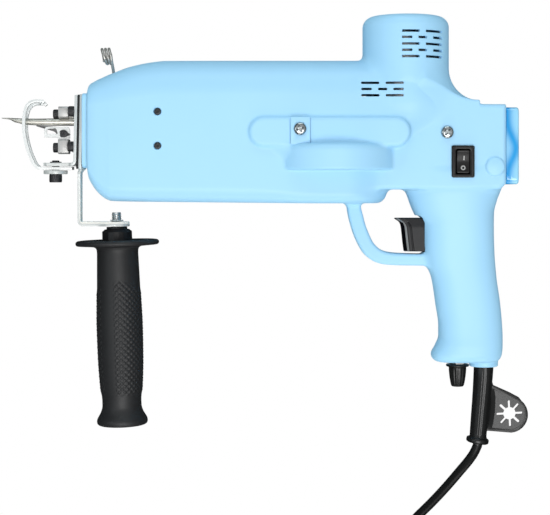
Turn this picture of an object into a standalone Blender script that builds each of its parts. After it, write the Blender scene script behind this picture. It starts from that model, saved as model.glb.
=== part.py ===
"""Hand-held tufting tool: moulded two-part body with a vertical motor in the hump,
a crank gear in the round housing, a sliding needle carriage with scissors, a presser
foot, a side handle on a bent bracket, a trigger grip and a mains lead.

The tool is modelled in its own upright axes, in millimetres: x to the rear, y up, z to
the user's right (the side with the rocker switch). The whole tool then lies on its left
side, so that row +Z is roughly the tool's z. It rests on the round gear housing, the
flange of the side handle and the nose of the body, which tips it by TILT about y.
"""
import math

import bpy
import bmesh
from mathutils import Matrix, Vector

for old in list(bpy.data.objects):
    bpy.data.objects.remove(old, do_unlink=True)

# ---------------------------------------------------------------- driving sizes (mm)
WALL = 2.5                      # moulded wall of the body
GAP = 0.3                       # between pieces that touch
SEAM = 0.15                     # half of the parting gap at z = 0
TILT = -6.30                    # degrees about y, as the tool lies
OFFSET = (50.78, 42.23, 43.81)  # row place of the tool's own origin

BODY_TOP, BODY_BOTTOM = 64.7, -29.8
BODY_HALF = 28.0                # half width of the barrel
REAR_HALF = 23.0                # half width of the rear body
HUMP_X, HUMP_R, HUMP_TOP = 46.6, 28.8, 94.5
DRUM_X, DRUM_R, DRUM_Y = -0.9, 43.7, (-8.2, 9.0)
BAR_Y = (30.0, 7.5)             # needle bar and scissor bar
STROKE = 18.0                   # needle stroke
CRANK_R = STROKE / 2
MODULE, PINION_TEETH, GEAR_TEETH = 1.25, 13, 63
ROD_LENGTH = 60.0
CORD_D = 6.3
COIL_R, COIL_HALF, COIL_H = 35.5, 9.7, 19.4


# ---------------------------------------------------------------- small tools
def frame():
    e = bpy.data.objects.new("tool_frame", None)
    bpy.context.scene.collection.objects.link(e)
    e.location = [c * 0.001 for c in OFFSET]
    e.rotation_euler = (0, math.radians(TILT), 0)
    return e


FRAME = frame()
bpy.context.view_layer.update()


def finish(name, bm, origin=(0, 0, 0), smooth=True, parent=True):
    """Mesh from a bmesh whose points are in millimetres, with its origin at origin."""
    bmesh.ops.recalc_face_normals(bm, faces=bm.faces)
    bmesh.ops.translate(bm, vec=-Vector(origin), verts=bm.verts)
    bmesh.ops.scale(bm, vec=(0.001, 0.001, 0.001), verts=bm.verts)
    me = bpy.data.meshes.new(name)
    bm.to_mesh(me)
    bm.free()
    if smooth:
        me.shade_smooth()
        me.set_sharp_from_angle(angle=math.radians(35))
    o = bpy.data.objects.new(name, me)
    bpy.context.scene.collection.objects.link(o)
    o.location = Vector(origin) * 0.001
    if parent:
        o.parent = FRAME
    return o


def loft_bm(rings, bm=None):
    """Closed solid through rings of the same number of points."""
    bm = bm or bmesh.new()
    rows = [[bm.verts.new(p) for p in ring] for ring in rings]
    n = len(rows[0])
    for a, b in zip(rows, rows[1:]):
        for i in range(n):
            bm.faces.new((a[i], a[(i + 1) % n], b[(i + 1) % n], b[i]))
    bm.faces.new(list(reversed(rows[0])))
    bm.faces.new(rows[-1])
    return bm


AXES = {
    "x": lambda a, b, h: (h, a, b),
    "y": lambda a, b, h: (a, h, b),
    "z": lambda a, b, h: (a, b, h),
}


def prism_bm(outline, axis, lo, hi):
    put = AXES[axis]
    return loft_bm([[put(a, b, lo) for a, b in outline], [put(a, b, hi) for a, b in outline]])


def lathe_bm(axis, centre, profile, n=32):
    """profile: (radius, height along axis) from one end to the other."""
    put = AXES[axis]
    rings = []
    for r, h in profile:
        rings.append(
            [
                put(centre[0] + r * math.cos(2 * math.pi * i / n), centre[1] + r * math.sin(2 * math.pi * i / n), h)
                for i in range(n)
            ]
        )
    return loft_bm(rings)


def circle(cx, cy, r, n, start=0.0):
    return [(cx + r * math.cos(start + 2 * math.pi * i / n), cy + r * math.sin(start + 2 * math.pi * i / n)) for i in range(n)]


def rounded(x0, x1, y0, y1, r, k=3):
    """Rounded rectangle, k segments to a corner."""
    pts = []
    for cx, cy, a in ((x1 - r, y1 - r, 0), (x0 + r, y1 - r, 90), (x0 + r, y0 + r, 180), (x1 - r, y0 + r, 270)):
        for i in range(k + 1):
            t = math.radians(a + 90 * i / k)
            pts.append((cx + r * math.cos(t), cy + r * math.sin(t)))
    return pts


def box_bm(x0, x1, y0, y1, z0, z1):
    return prism_bm([(x0, y0), (x1, y0), (x1, y1), (x0, y1)], "z", z0, z1)


def apply_boolean(target, tool, operation):
    """Union, difference or intersection of two closed solids; the tool is used up."""
    m = target.modifiers.new("cut", "BOOLEAN")
    m.operation = operation
    m.solver = "EXACT"
    m.object = tool
    bpy.context.view_layer.update()
    dg = bpy.context.evaluated_depsgraph_get()
    me = bpy.data.meshes.new_from_object(target.evaluated_get(dg))
    target.modifiers.clear()
    old = target.data
    target.data = me
    bpy.data.meshes.remove(old)
    gone = tool.data
    bpy.data.objects.remove(tool, do_unlink=True)
    bpy.data.meshes.remove(gone)
    bm = bmesh.new()
    bm.from_mesh(target.data)
    bmesh.ops.remove_doubles(bm, verts=bm.verts, dist=2e-6)
    bmesh.ops.dissolve_degenerate(bm, edges=bm.edges, dist=2e-6)
    bmesh.ops.dissolve_limit(bm, angle_limit=math.radians(0.5), verts=bm.verts, edges=bm.edges)
    bmesh.ops.triangulate(bm, faces=[f for f in bm.faces if len(f.verts) > 4])
    bm.to_mesh(target.data)
    bm.free()
    return target


def add(target, bm):
    return apply_boolean(target, finish("tool", bm, parent=target.parent is not None), "UNION")


def cut(target, bm):
    return apply_boolean(target, finish("tool", bm), "DIFFERENCE")


def keep(target, bm):
    return apply_boolean(target, finish("tool", bm), "INTERSECT")


def material(o, colour, rough=0.5, metal=0.0):
    m = bpy.data.materials.new(o.name)
    m.use_nodes = True
    b = m.node_tree.nodes["Principled BSDF"]
    b.inputs["Base Color"].default_value = (*colour, 1)
    b.inputs["Roughness"].default_value = rough
    b.inputs["Metallic"].default_value = metal
    m.diffuse_color = (*colour, 1)
    o.data.materials.clear()
    o.data.materials.append(m)
    if o.type == "MESH":
        o.data.shade_smooth()
        o.data.set_sharp_from_angle(angle=math.radians(35))
    return o


BLUE, COVER = (0.41, 0.78, 0.99), (0.06, 0.45, 0.92)
BLACK, RUBBER = (0.012, 0.012, 0.013), (0.015, 0.015, 0.016)
STEEL, ZINC, BRASS, ALU = (0.62, 0.62, 0.6), (0.66, 0.66, 0.62), (0.72, 0.5, 0.2), (0.75, 0.76, 0.77)
GREEN, WHITE, COPPER = (0.02, 0.2, 0.08), (0.8, 0.79, 0.74), (0.5, 0.2, 0.08)


# ---------------------------------------------------------------- body, two halves
def section(x, top, bottom, half, rt, rb, inset=0.0, kt=5, kb=3):
    """Cross-section of the body across x: straight flanks, wide round top, tighter bottom."""
    top, bottom, half = top - inset, bottom + inset, half - inset
    rt, rb = max(rt - inset, 1.0), max(rb - inset, 1.0)
    pts = []
    for cy, cz, r, a, k in (
        (top - rt, half - rt, rt, 0, kt),
        (top - rt, -half + rt, rt, 90, kt),
        (bottom + rb, -half + rb, rb, 180, kb),
        (bottom + rb, half - rb, rb, 270, kb),
    ):
        for i in range(k + 1):
            t = math.radians(a + 90 * i / k)
            pts.append((x, cy + r * math.sin(t), cz + r * math.cos(t)))
    return pts


STATIONS = [
    (-164.5, 47.9, -9.8, 23.9, 14, 8), (-163.1, 49.0, -14.2, 25.0, 16, 8), (-160.9, 50.4, -18.2, 25.9, 17, 8.5), (-158.2, 51.8, -22.0, 26.5, 18, 9),
    (-155.0, 53.3, -25.2, 26.9, 19, 9.5), (-151.8, 54.9, -27.4, 27.2, 20, 10), (-148.4, 56.3, -28.6, 27.6, 21, 10), (-136.7, 60.7, -29.0, 28, 23, 10),
    (-122.8, 63.65, -29.2, 28, 24, 10), (-113.0, 64.6, -29.3, 28, 24, 10),
    (5.2, BODY_TOP, BODY_BOTTOM, BODY_HALF, 24, 10), (6.2, BODY_TOP, -20.6, BODY_HALF, 24, 4),
    (40.0, BODY_TOP, -20.6, 28.0, 24, 4), (50.0, 58.0, -20.6, 27.4, 20, 4), (60.0, 50.0, -20.6, 24.4, 14, 4), (66.0, 45.0, -20.6, 23.4, 11, 4), (70.0, 42.0, -20.6, 23.2, 8, 4),
    (85.0, 38.2, -20.6, REAR_HALF, 6, 4), (92.0, 38.0, -20.6, 22.9, 6, 4), (94.6, 35.2, -20.6, 22.9, 6, 4),
    (108.0, 35.1, -20.6, 22.7, 6, 4), (110.8, 35.0, -17.8, 22.6, 6, 4),
]
HUMP = [(23.5, 94.5), (27.2, 93.2), (28.6, 90.4), (28.8, 86.0), (28.8, 62.0), (29.4, 57.5), (31.4, 51.6), (34.2, 45.4),
        (38.0, 41.0), (43.0, 38.4), (43.0, 30.0)]
GRIP = [  # y, front x, back x, half thickness
    (-12.0, 50.0, 110.3, 21.0), (-20.5, 47.6, 109.8, 21.0), (-28.5, 50.2, 107.4, 20.4), (-36.9, 53.2, 105.5, 19.6), (-45.0, 57.6, 105.9, 18.8),
    (-64.0, 58.4, 106.2, 17.8), (-72.0, 60.8, 106.8, 17.5), (-79.6, 64.5, 107.4, 17.3), (-97.5, 67.3, 110.0, 17.2),
    (-112.6, 69.3, 111.1, 17.5), (-119.1, 69.2, 111.5, 17.8), (-125.7, 66.3, 111.5, 18.2), (-131.0, 63.9, 110.6, 18.2),
    (-134.6, 65.4, 108.8, 17.0), (-136.2, 68.4, 106.5, 15.0),
]


def oval(y, x0, x1, half, n=20, inset=0.0):
    x0, x1, half = x0 + inset, x1 - inset, half - inset
    cx, rx = (x0 + x1) / 2, (x1 - x0) / 2
    pts = []
    for i in range(n):
        t = 2 * math.pi * i / n
        c, s = math.cos(t), math.sin(t)
        k = (abs(c) ** 2.6 + abs(s) ** 2.6) ** (-1 / 2.6)
        pts.append((cx + rx * c * k, y, half * s * k))
    return pts


GUARD_OUT = [(6.4, -24.0), (7.2, -30.8), (8.0, -37.5), (10.0, -45.6), (12.7, -53.6), (16.8, -61.6), (20.1, -65.7), (26.1, -69.7),
             (34.4, -71.4), (59.6, -71.7), (66.0, -71.7)]
GUARD_IN = [(14.6, -24.0), (15.6, -31.2), (17.4, -37.5), (19.4, -45.6), (22.8, -53.6), (25.0, -59.0), (29.5, -62.0), (36.2, -63.7),
            (55.1, -64.3), (66.0, -64.3)]
CAPSULE = (-57.7, 47.4, 6.9, 26.3, 31.0)


def stadium(x0, x1, y0, y1, n=8):
    r, cy = (y1 - y0) / 2, (y0 + y1) / 2
    pts = [(x1 - r + r * math.cos(math.radians(-90 + 180 * i / n)), cy + r * math.sin(math.radians(-90 + 180 * i / n))) for i in range(n + 1)]
    pts += [(x0 + r + r * math.cos(math.radians(90 + 180 * i / n)), cy + r * math.sin(math.radians(90 + 180 * i / n))) for i in range(n + 1)]
    return pts


def body():
    o = finish("body", loft_bm([section(*s) for s in STATIONS]))
    add(o, prism_bm(rounded(-6.9, 42.4, -21.0, 21.0, 5), "x", -167.0, -160.0))
    add(o, lathe_bm("y", (5.2, 0), [(22.5, -29.5), (26.3, -28.2), (27.9, -24.6), (27.9, -8.0), (20.0, -2.0)], 28))
    hump = finish("hump", lathe_bm("y", (HUMP_X, 0), list(reversed(HUMP)), 36))
    keep(hump, box_bm(0, 120, 0, 120, -28.3, 28.3))
    keep(hump, prism_bm([(0, 120), (0, 62), (12, 57), (12, 20), (110, 20), (110, 120)], "z", -40, 40))
    waist = finish("waist", loft_bm([[(x, y, z) for x, z in ((0, -28.3), (46, -28.3), (62, -25.4), (74, -23.6), (100, -23.6), (100, 23.6), (74, 23.6), (62, 25.4), (46, 28.3), (0, 28.3))] for y in (20, 41.0)]
                                   + [[(x, y, z) for x, z in ((0, -29), (46, -29), (62, -28), (76, -27), (100, -27), (100, 27), (76, 27), (62, 28), (46, 29), (0, 29))] for y in (60, 120)]))
    apply_boolean(hump, waist, "INTERSECT")
    apply_boolean(o, hump, "UNION")
    add(o, lathe_bm("y", (DRUM_X, 0), [(42.3, DRUM_Y[0]), (DRUM_R, DRUM_Y[0] + 1.2), (DRUM_R, 4.6), (42.2, 7.6), (38.8, DRUM_Y[1])], 48))
    for s in (1, -1):
        add(o, prism_bm(stadium(*CAPSULE[:4]), "z", min(s * 20, s * CAPSULE[4]), max(s * 20, s * CAPSULE[4])))
        add(o, lathe_bm("z", (103.3, -6.1), [(6.1, s * 18), (6.1, s * 23.6), (5.1, s * 24.4)], 16))
    add(o, loft_bm([oval(*g) for g in GRIP]))
    add(o, prism_bm(GUARD_OUT + list(reversed(GUARD_IN)), "z", -7.5, 7.5))
    add(o, lathe_bm("y", (98.8, 0), [(9.6, -139.4), (9.6, -130.0)], 20))

    inner = [s for s in STATIONS if -164 < s[0] < 107]
    inner = [(-162.0, 46.0, -11.0, 24.6, 14, 8)] + inner[1:] + [(108.4, 35.0, -18.0, 22.6, 6, 4)]
    fixed = []
    for x, *rest in inner:
        fixed.append((x + (0.6 if x in (5.2, 6.2) else 0), *rest))
    cut(o, loft_bm([section(x - (3.2 if x in (5.8, 6.8) else 0), *rest, inset=WALL) for x, *rest in fixed]))
    cut(o, lathe_bm("y", (5.2, 0), [(21.0, -27.0), (25.4, -22.6), (25.4, -4.0)], 28))
    cut(o, lathe_bm("y", (HUMP_X, 0), [(24.4, 28.0), (24.4, 46.0), (26.3, 52.0), (26.3, 88.0), (22.0, 92.0)], 36))
    cut(o, lathe_bm("y", (DRUM_X, 0), [(41.3, -5.7), (41.3, 4.0), (38.5, 6.5)], 48))
    cut(o, loft_bm([oval(*g, inset=WALL) for g in GRIP[:1]] + [oval(*g, inset=WALL) for g in GRIP[2:-2]] + [oval(-134.0, 68.0, 106.5, 16.0, inset=WALL)]))
    # openings: nose window, rear window, trigger pocket, lead and knob holes, switch window
    cut(o, box_bm(-175, -160, -1.5, 37.5, -10.0, 10.0))
    cut(o, box_bm(105, 120, -13.0, 29.0, -16.0, 16.0))
    cut(o, box_bm(46, 72, -63.7, -39.0, -6.8, 6.8))
    cut(o, lathe_bm("y", (98.8, 0), [(6.0, -145.0), (6.0, -128.0)], 16))
    cut(o, lathe_bm("y", (81.4, 0), [(3.8, -145.0), (3.8, -128.0)], 16))
    cut(o, box_bm(75.8, 89.4, -12.5, 6.9, 15.0, 30.0))
    cut(o, lathe_bm("y", (-148.8, 0), [(1.3, 48.0), (1.3, 60.0)], 10))
    return o


def screw_holes(o, s):
    """Clearance holes of the guide screws and the two flank screws, on the near side."""
    if s > 0:
        for y in BAR_Y:
            cut(o, lathe_bm("z", (-117.5, y), [(2.6, 20.0), (2.6, 31.0)], 14))
        cut(o, lathe_bm("z", (-24.6, 18.2), [(1.9, 20.0), (1.9, 34.0)], 12))
        cut(o, lathe_bm("z", (71.9, 16.4), [(1.9, 15.0), (1.9, 30.0)], 12))


whole = body()
near = whole
far = whole.copy()
far.data = whole.data.copy()
bpy.context.scene.collection.objects.link(far)
near.name, far.name = "shell_near", "shell_far"
keep(near, box_bm(-200, 150, -160, 120, SEAM, 60))
keep(far, box_bm(-200, 150, -160, 120, -60, -SEAM))
screw_holes(near, 1)
for o in (near, far):
    o.data.name = o.name
    material(o, BLUE, 0.42)

# ---------------------------------------------------------------- rear cover
o = finish("rear_cover", prism_bm(rounded(-17.6, 33.1, -19.5, 19.5, 4), "x", 111.2, 119.6))
cut(o, prism_bm(rounded(-15.4, 30.9, -17.3, 17.3, 2.5), "x", 108.0, 117.4))
material(o, COVER, 0.12)

# ---------------------------------------------------------------- nose: gasket, bracket, plate
o = finish("handle_bracket", prism_bm([(-170.5, 42.0), (-170.5, -8.0), (-172.0, -12.0), (-172.0, -42.4), (-171.6, -43.9), (-170.4, -45.2), (-168.8, -45.7), (-137.8, -45.7),
                                       (-137.8, -42.5), (-168.4, -42.5), (-169.3, -42.2), (-169.7, -41.3), (-169.7, -12.5), (-168.2, -8.5), (-168.2, 42.0)], "z", -13.0, 13.0))
cut(o, box_bm(-175, -165, -1.5, 37.5, -8.8, 8.8))
for s in (1, -1):
    cut(o, box_bm(-180, -165, -50, -10.5, min(s * 5.2, s * 20), max(s * 5.2, s * 20)))
    side = [(-166.0, 5.2), (-158.0, 5.2), (-152.0, 8.8), (-143.5, 8.8), (-139.4, 6.0), (-137.5, 2.0), (-130.0, 2.0), (-130.0, 20.0), (-166.0, 20.0)]
    cut(o, prism_bm([(a, s * b) for a, b in side], "y", -50.0, -35.0))
cut(o, lathe_bm("y", (-146.8, 0), [(3.6, -50), (3.6, -40)], 14))
for y in (31.0, 8.0):
    for z in (-11.1, 11.1):
        cut(o, lathe_bm("x", (y, z), [(1.7, -175), (1.7, -165)], 8))
material(o, ZINC, 0.3, 1.0)

o = finish("front_gasket", prism_bm(rounded(-7.4, 42.0, -13.0, 13.0, 2), "x", -171.7, -170.8))
cut(o, box_bm(-175, -165, -1.5, 37.5, -8.8, 8.8))
for y in (31.0, 8.0):
    for z in (-11.1, 11.1):
        cut(o, lathe_bm("x", (y, z), [(1.7, -176), (1.7, -165)], 8))
material(o, BLACK, 0.7)

o = finish("front_plate", prism_bm([(-174.0, 41.5), (-174.0, -1.9), (-175.2, -3.3), (-195.2, -3.3), (-195.2, -5.4), (-173.8, -5.4), (-172.0, -3.4),
                                    (-172.0, 41.5)], "z", -13.0, 13.0))
cut(o, box_bm(-178, -170, -1.5, 37.5, -8.8, 8.8))
cut(o, box_bm(-199, -175.6, -8, 0, -30, -8.0))
cut(o, box_bm(-199, -175.6, -8, 0, 8.0, 30))
cut(o, lathe_bm("y", (-187.8, 0), [(2.9, -8), (2.9, 0)], 12))
for y in (31.0, 8.0):
    for z in (-11.1, 11.1):
        cut(o, lathe_bm("x", (y, z), [(1.7, -179), (1.7, -165)], 8))
material(o, ZINC, 0.3, 1.0)

# four cap screws through plate, gasket and bracket; their ends stop short of the nose
SCREWS = {}
for i, (y, z) in enumerate(((31.0, 11.1), (31.0, -11.1), (8.0, 11.1), (8.0, -11.1))):
    prof = [(2.4, -178.3), (3.3, -177.9), (3.3, -174.3), (1.4, -174.29), (1.4, -167.4)]
    o = finish(f"plate_screw_{i + 1}", lathe_bm("x", (y, z), prof, 12))
    material(o, BLACK, 0.35, 0.7)

# ---------------------------------------------------------------- side handle
HX0, HY0, LEAN = -146.8, -46.3, 1.65     # axis starts here and leans to the rear going down


def handle_lathe(profile, n=28):
    """Solid turned about the leaning handle axis; profile is (radius, distance down)."""
    c, s = math.cos(math.radians(LEAN)), math.sin(math.radians(LEAN))
    rings = []
    for r, d in profile:
        rings.append([(HX0 + s * d + c * r * math.cos(2 * math.pi * i / n), HY0 - c * d + s * r * math.cos(2 * math.pi * i / n),
                       r * math.sin(2 * math.pi * i / n)) for i in range(n)])
    return loft_bm(rings)


o = finish("side_handle_core", handle_lathe([(6.9, -0.3), (6.9, 2.0), (9.9, 2.7), (9.9, 7.4), (8.2, 7.6), (8.2, 13.8)], 20))
cut(o, handle_lathe([(3.6, -2), (3.6, 12.0)], 12))
material(o, BLACK, 0.5)
o = finish("side_handle_grip", handle_lathe([(11.0, 6.6), (20.0, 7.3), (26.4, 8.1), (27.8, 9.1), (27.9, 10.2), (26.6, 11.3), (17.5, 13.2), (14.6, 15.4), (13.9, 19.4), (14.6, 47.0), (15.1, 66.0), (14.9, 86.0),
                                             (13.9, 107.0), (13.0, 118.0), (14.2, 123.5), (16.9, 128.2), (16.9, 130.2), (14.0, 132.3)], 28))
cut(o, handle_lathe([(10.3, 5.0), (10.3, 7.75), (8.5, 7.76), (8.5, 14.2)], 20))
material(o, RUBBER, 0.75)
o = finish("handle_stud", handle_lathe([(3.2, -9.6), (3.2, 10.0)], 14))
material(o, STEEL, 0.3, 1.0)
o = finish("handle_nut", lathe_bm("y", (-146.8, 0), [(4.4, -42.2), (4.4, -41.4)], 18))
cut(o, lathe_bm("y", (-146.8, 0), [(3.6, -50), (3.6, -30)], 14))
material(o, STEEL, 0.3, 1.0)

# ---------------------------------------------------------------- presser foot and its clamp
FOOT_PATH = [(-176.4, -6.9), (-198.0, -6.9), (-201.0, -5.0), (-203.0, -1.3), (-205.0, 3.4), (-206.7, 9.4), (-208.0, 16.0), (-208.4, 22.0),
             (-207.8, 28.8), (-206.4, 33.8), (-204.0, 36.5), (-201.0, 37.3), (-195.3, 37.0)]


def strip(path, t):
    left, right = [], []
    for i, p in enumerate(path):
        a, b = path[max(i - 1, 0)], path[min(i + 1, len(path) - 1)]
        dx, dy = b[0] - a[0], b[1] - a[1]
        d = math.hypot(dx, dy)
        left.append((p[0] - dy / d * t / 2, p[1] + dx / d * t / 2))
        right.append((p[0] + dy / d * t / 2, p[1] - dx / d * t / 2))
    return left + list(reversed(right))


o = finish("presser_foot", prism_bm(strip(FOOT_PATH, 2.0), "z", -6.2, 6.2), origin=(-187.8, -6.9, 0))
cut(o, box_bm(-215, -197.2, -12, 45, -4.0, 4.0))
cut(o, box_bm(-198, -190, 10, 45, -4.0, 4.0))
cut(o, prism_bm(rounded(-193.8, -180.8, -2.9, 2.9, 2.8, 4), "y", -12, 0))
material(o, ZINC, 0.25, 1.0)
o = finish("foot_washer", lathe_bm("y", (-187.8, 0), [(8.0, -11.2), (8.0, -8.3)], 20))
cut(o, lathe_bm("y", (-187.8, 0), [(2.9, -12), (2.9, -5)], 12))
material(o, STEEL, 0.3, 1.0)
o = finish("foot_screw", lathe_bm("y", (-187.8, 0), [(3.8, -16.5), (4.2, -16.1), (4.2, -11.6), (2.4, -11.59), (2.4, -2.0), (2.0, -1.4)], 16))
material(o, BLACK, 0.35, 0.7)
o = finish("foot_nut", prism_bm(circle(-187.8, 0, 4.0, 6), "y", -3.0, -2.2))
cut(o, lathe_bm("y", (-187.8, 0), [(2.8, -8), (2.8, 0)], 12))
material(o, STEEL, 0.3, 1.0)

# ---------------------------------------------------------------- needle carriage
CARR = (-120.0, 18.5, 0)
o = finish("needle_bar", lathe_bm("x", (BAR_Y[0], 0), [(3.2, -185.6), (3.7, -185.1), (3.7, -104.4)], 16), origin=CARR)
cut(o, box_bm(-190, -177, 18, 25.95, -8, 8))
material(o, STEEL, 0.2, 1.0)
o = finish("scissor_bar", lathe_bm("x", (BAR_Y[1], 0), [(2.6, -178.3), (3.0, -177.9), (3.0, -104.4)], 14), origin=CARR)
material(o, STEEL, 0.2, 1.0)
o = finish("crosshead", prism_bm([(-104.0, 3.2), (-98.0, 3.2), (-98.0, 13.0), (-63.5, 13.0), (-63.5, 17.6), (-96.0, 17.6), (-98.0, 19.6), (-98.0, 34.3), (-104.0, 34.3)],
                                 "z", -6.0, 6.0), origin=CARR)
cut(o, lathe_bm("y", (DRUM_X - CRANK_R - ROD_LENGTH, 0), [(3.3, 5), (3.3, 25)], 12))
material(o, ALU, 0.4, 1.0)
o = finish("wrist_pin", lathe_bm("y", (DRUM_X - CRANK_R - ROD_LENGTH, 0), [(3.0, 11.8), (3.0, 18.0), (4.2, 18.01), (4.2, 19.4)], 14), origin=CARR)
material(o, STEEL, 0.2, 1.0)
o = finish("needle_block", prism_bm(rounded(26.3, 34.0, -5.0, 5.0, 1.2, 2), "x", -186.0, -179.6), origin=CARR)
cut(o, lathe_bm("x", (BAR_Y[0], 0), [(4.0, -184.2), (4.0, -170.0)], 16))
cut(o, lathe_bm("x", (BAR_Y[0], 0), [(1.9, -190.0), (1.9, -170.0)], 12))
material(o, ZINC, 0.3, 1.0)
# the bar is stepped to sit in the block's blind bore
cut(bpy.data.objects["needle_bar"], box_bm(-195, -183.9, 10, 45, -20, 20))
o = finish("needle_block_screw", lathe_bm("x", (BAR_Y[0] - 0.7, 0), [(2.4, -190.0), (2.9, -189.6), (2.9, -186.3)], 14), origin=CARR)
material(o, BLACK, 0.35, 0.7)
def ring_x(x, y, ry, rz, n=14):
    return [(x, y + ry * math.cos(2 * math.pi * i / n), rz * math.sin(2 * math.pi * i / n)) for i in range(n)]


o = finish("needle", loft_bm([ring_x(-223.9, 25.85, 0.25, 0.3), ring_x(-219.0, 25.4, 0.55, 0.8), ring_x(-212.0, 24.75, 1.15, 1.6), ring_x(-204.5, 23.7, 2.2, 2.2),
                              ring_x(-176.6, 23.7, 2.2, 2.2)]), origin=CARR)
material(o, STEEL, 0.25, 1.0)
o = finish("scissor_block", prism_bm(rounded(2.7, 12.5, -5.0, 5.0, 1.2, 2), "x", -186.0, -178.6), origin=CARR)
material(o, ZINC, 0.3, 1.0)
o = finish("scissor_block_screw", lathe_bm("x", (6.9, 0), [(2.7, -189.8), (3.15, -189.4), (3.15, -186.3)], 14), origin=CARR)
material(o, BLACK, 0.35, 0.7)
BLADE_PIVOT = (-182.0, 16.2, 0)
fixed = [(-195.0, 14.2), (-195.2, 18.8), (-193.8, 20.6), (-179.0, 20.6), (-178.0, 18.0), (-178.0, 12.9), (-185.6, 12.9), (-187.2, 14.0)]
o = finish("fixed_blade", prism_bm(fixed, "z", 0.4, 1.6), origin=CARR)
cut(o, lathe_bm("z", BLADE_PIVOT, [(1.6, -3), (1.6, 6)], 12))
material(o, STEEL, 0.25, 1.0)
moving = [(-201.0, 20.6), (-186.0, 19.9), (-178.6, 19.4), (-178.6, 13.6), (-185.0, 13.2), (-188.5, 17.0), (-200.6, 19.8)]
o = finish("moving_blade", prism_bm(moving, "z", -1.6, -0.4), origin=BLADE_PIVOT)
cut(o, lathe_bm("z", BLADE_PIVOT, [(1.6, -6), (1.6, 3)], 12))
material(o, STEEL, 0.25, 1.0)
o = finish("blade_pivot_screw", lathe_bm("z", BLADE_PIVOT, [(1.25, -3.0), (1.25, 1.95), (2.6, 1.96), (2.6, 3.4)], 12), origin=CARR)
material(o, BLACK, 0.35, 0.7)

# guide block that carries both bars, with its two screws under the round recesses
o = finish("guide_block", prism_bm(rounded(0.5, 37.0, -22.0, 22.0, 2, 2), "x", -124.0, -111.0))
for y, r in ((BAR_Y[0], 4.0), (BAR_Y[1], 3.3)):
    cut(o, lathe_bm("x", (y, 0), [(r, -130), (r, -105)], 16))
material(o, ALU, 0.45, 1.0)
for i, y in enumerate(BAR_Y):
    o = finish(f"guide_screw_{i + 1}", lathe_bm("z", (-117.5, y), [(2.2, 22.4), (2.2, 26.6)], 12))
    material(o, BLACK, 0.4, 0.7)


# ---------------------------------------------------------------- yarn guide spring
def tube_object(name, pts, d, resolution=2, parent=True):
    cu = bpy.data.curves.new(name, "CURVE")
    cu.dimensions = "3D"
    cu.bevel_depth = d / 2 * 0.001
    cu.bevel_resolution = resolution
    cu.use_fill_caps = True
    sp = cu.splines.new("POLY")
    sp.points.add(len(pts) - 1)
    for q, p in zip(sp.points, pts):
        q.co = (p[0] * 0.001, p[1] * 0.001, p[2] * 0.001, 1)
    ob = bpy.data.objects.new(name, cu)
    bpy.context.scene.collection.objects.link(ob)
    if parent:
        ob.parent = FRAME
    return ob


def smooth_path(points, step):
    """Centripetal curve through points, read every step."""
    pts = [Vector(p) for p in points]
    pts = [pts[0] * 2 - pts[1]] + pts + [pts[-1] * 2 - pts[-2]]
    dense = []
    for i in range(1, len(pts) - 2):
        p0, p1, p2, p3 = pts[i - 1:i + 3]
        for k in range(24):
            t = k / 24
            dense.append(0.5 * ((2 * p1) + (p2 - p0) * t + (2 * p0 - 5 * p1 + 4 * p2 - p3) * t * t + (3 * p1 - p0 - 3 * p2 + p3) * t ** 3))
    dense.append(pts[-2])
    out, run = [dense[0]], 0.0
    total = sum((b - a).length for a, b in zip(dense, dense[1:]))
    count = max(2, round(total / step))
    want = total / count
    for a, b in zip(dense, dense[1:]):
        seg = (b - a).length
        while run + seg >= want - 1e-9 and seg > 0:
            a = a.lerp(b, (want - run) / seg)
            out.append(a)
            seg = (b - a).length
            run = 0.0
        run += seg
    if (out[-1] - dense[-1]).length > want * 0.5:
        out.append(dense[-1])
    else:
        out[-1] = dense[-1]
    return out


def spring_points():
    """A straight leg out of the body, then close turns about an axis near x."""
    axis = Vector((-2.35, -0.12, 0))
    up = Vector((-math.sin(math.radians(14)), math.cos(math.radians(14)), 0))
    side = Vector((0, 0, 1))
    centre = Vector((-150.3, 68.2, 0))
    pts = [Vector((-148.7, 51.0, 0)), Vector((-148.9, 57.2, 0.3)), Vector((-149.4, 61.0, 1.9)), Vector((-149.9, 64.6, 3.9))]
    n = 12
    for i in range(int(2.62 * n) + 1):
        t = 2 * math.pi * i / n
        pts.append(centre + axis * (i / n) + side * 5.0 * math.cos(t) + up * 5.0 * math.sin(t))
    return pts


o = tube_object("yarn_spring", spring_points(), 1.85, 1)
material(o, (0.3, 0.29, 0.27), 0.35, 0.9)

# ---------------------------------------------------------------- strap and flank screws
o = finish("strap", prism_bm(rounded(-30.8, -17.4, 9.6, 26.0, 0.8, 1), "z", 31.3, 32.6))
cut(o, lathe_bm("z", (-24.6, 18.2), [(1.9, 30), (1.9, 36)], 12))
material(o, BLUE, 0.42)


def pan_head(name, x, y, z, depth):
    o = finish(name, lathe_bm("z", (x, y), [(1.6, z - depth), (1.6, z - 0.01), (4.2, z), (4.2, z + 1.0), (3.6, z + 1.8), (2.2, z + 2.3)], 16))
    return material(o, STEEL, 0.2, 1.0)


pan_head("strap_screw", -24.6, 18.2, 32.9, 8.0)
pan_head("flank_screw", 71.9, 16.4, 23.6, 6.0)

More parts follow.
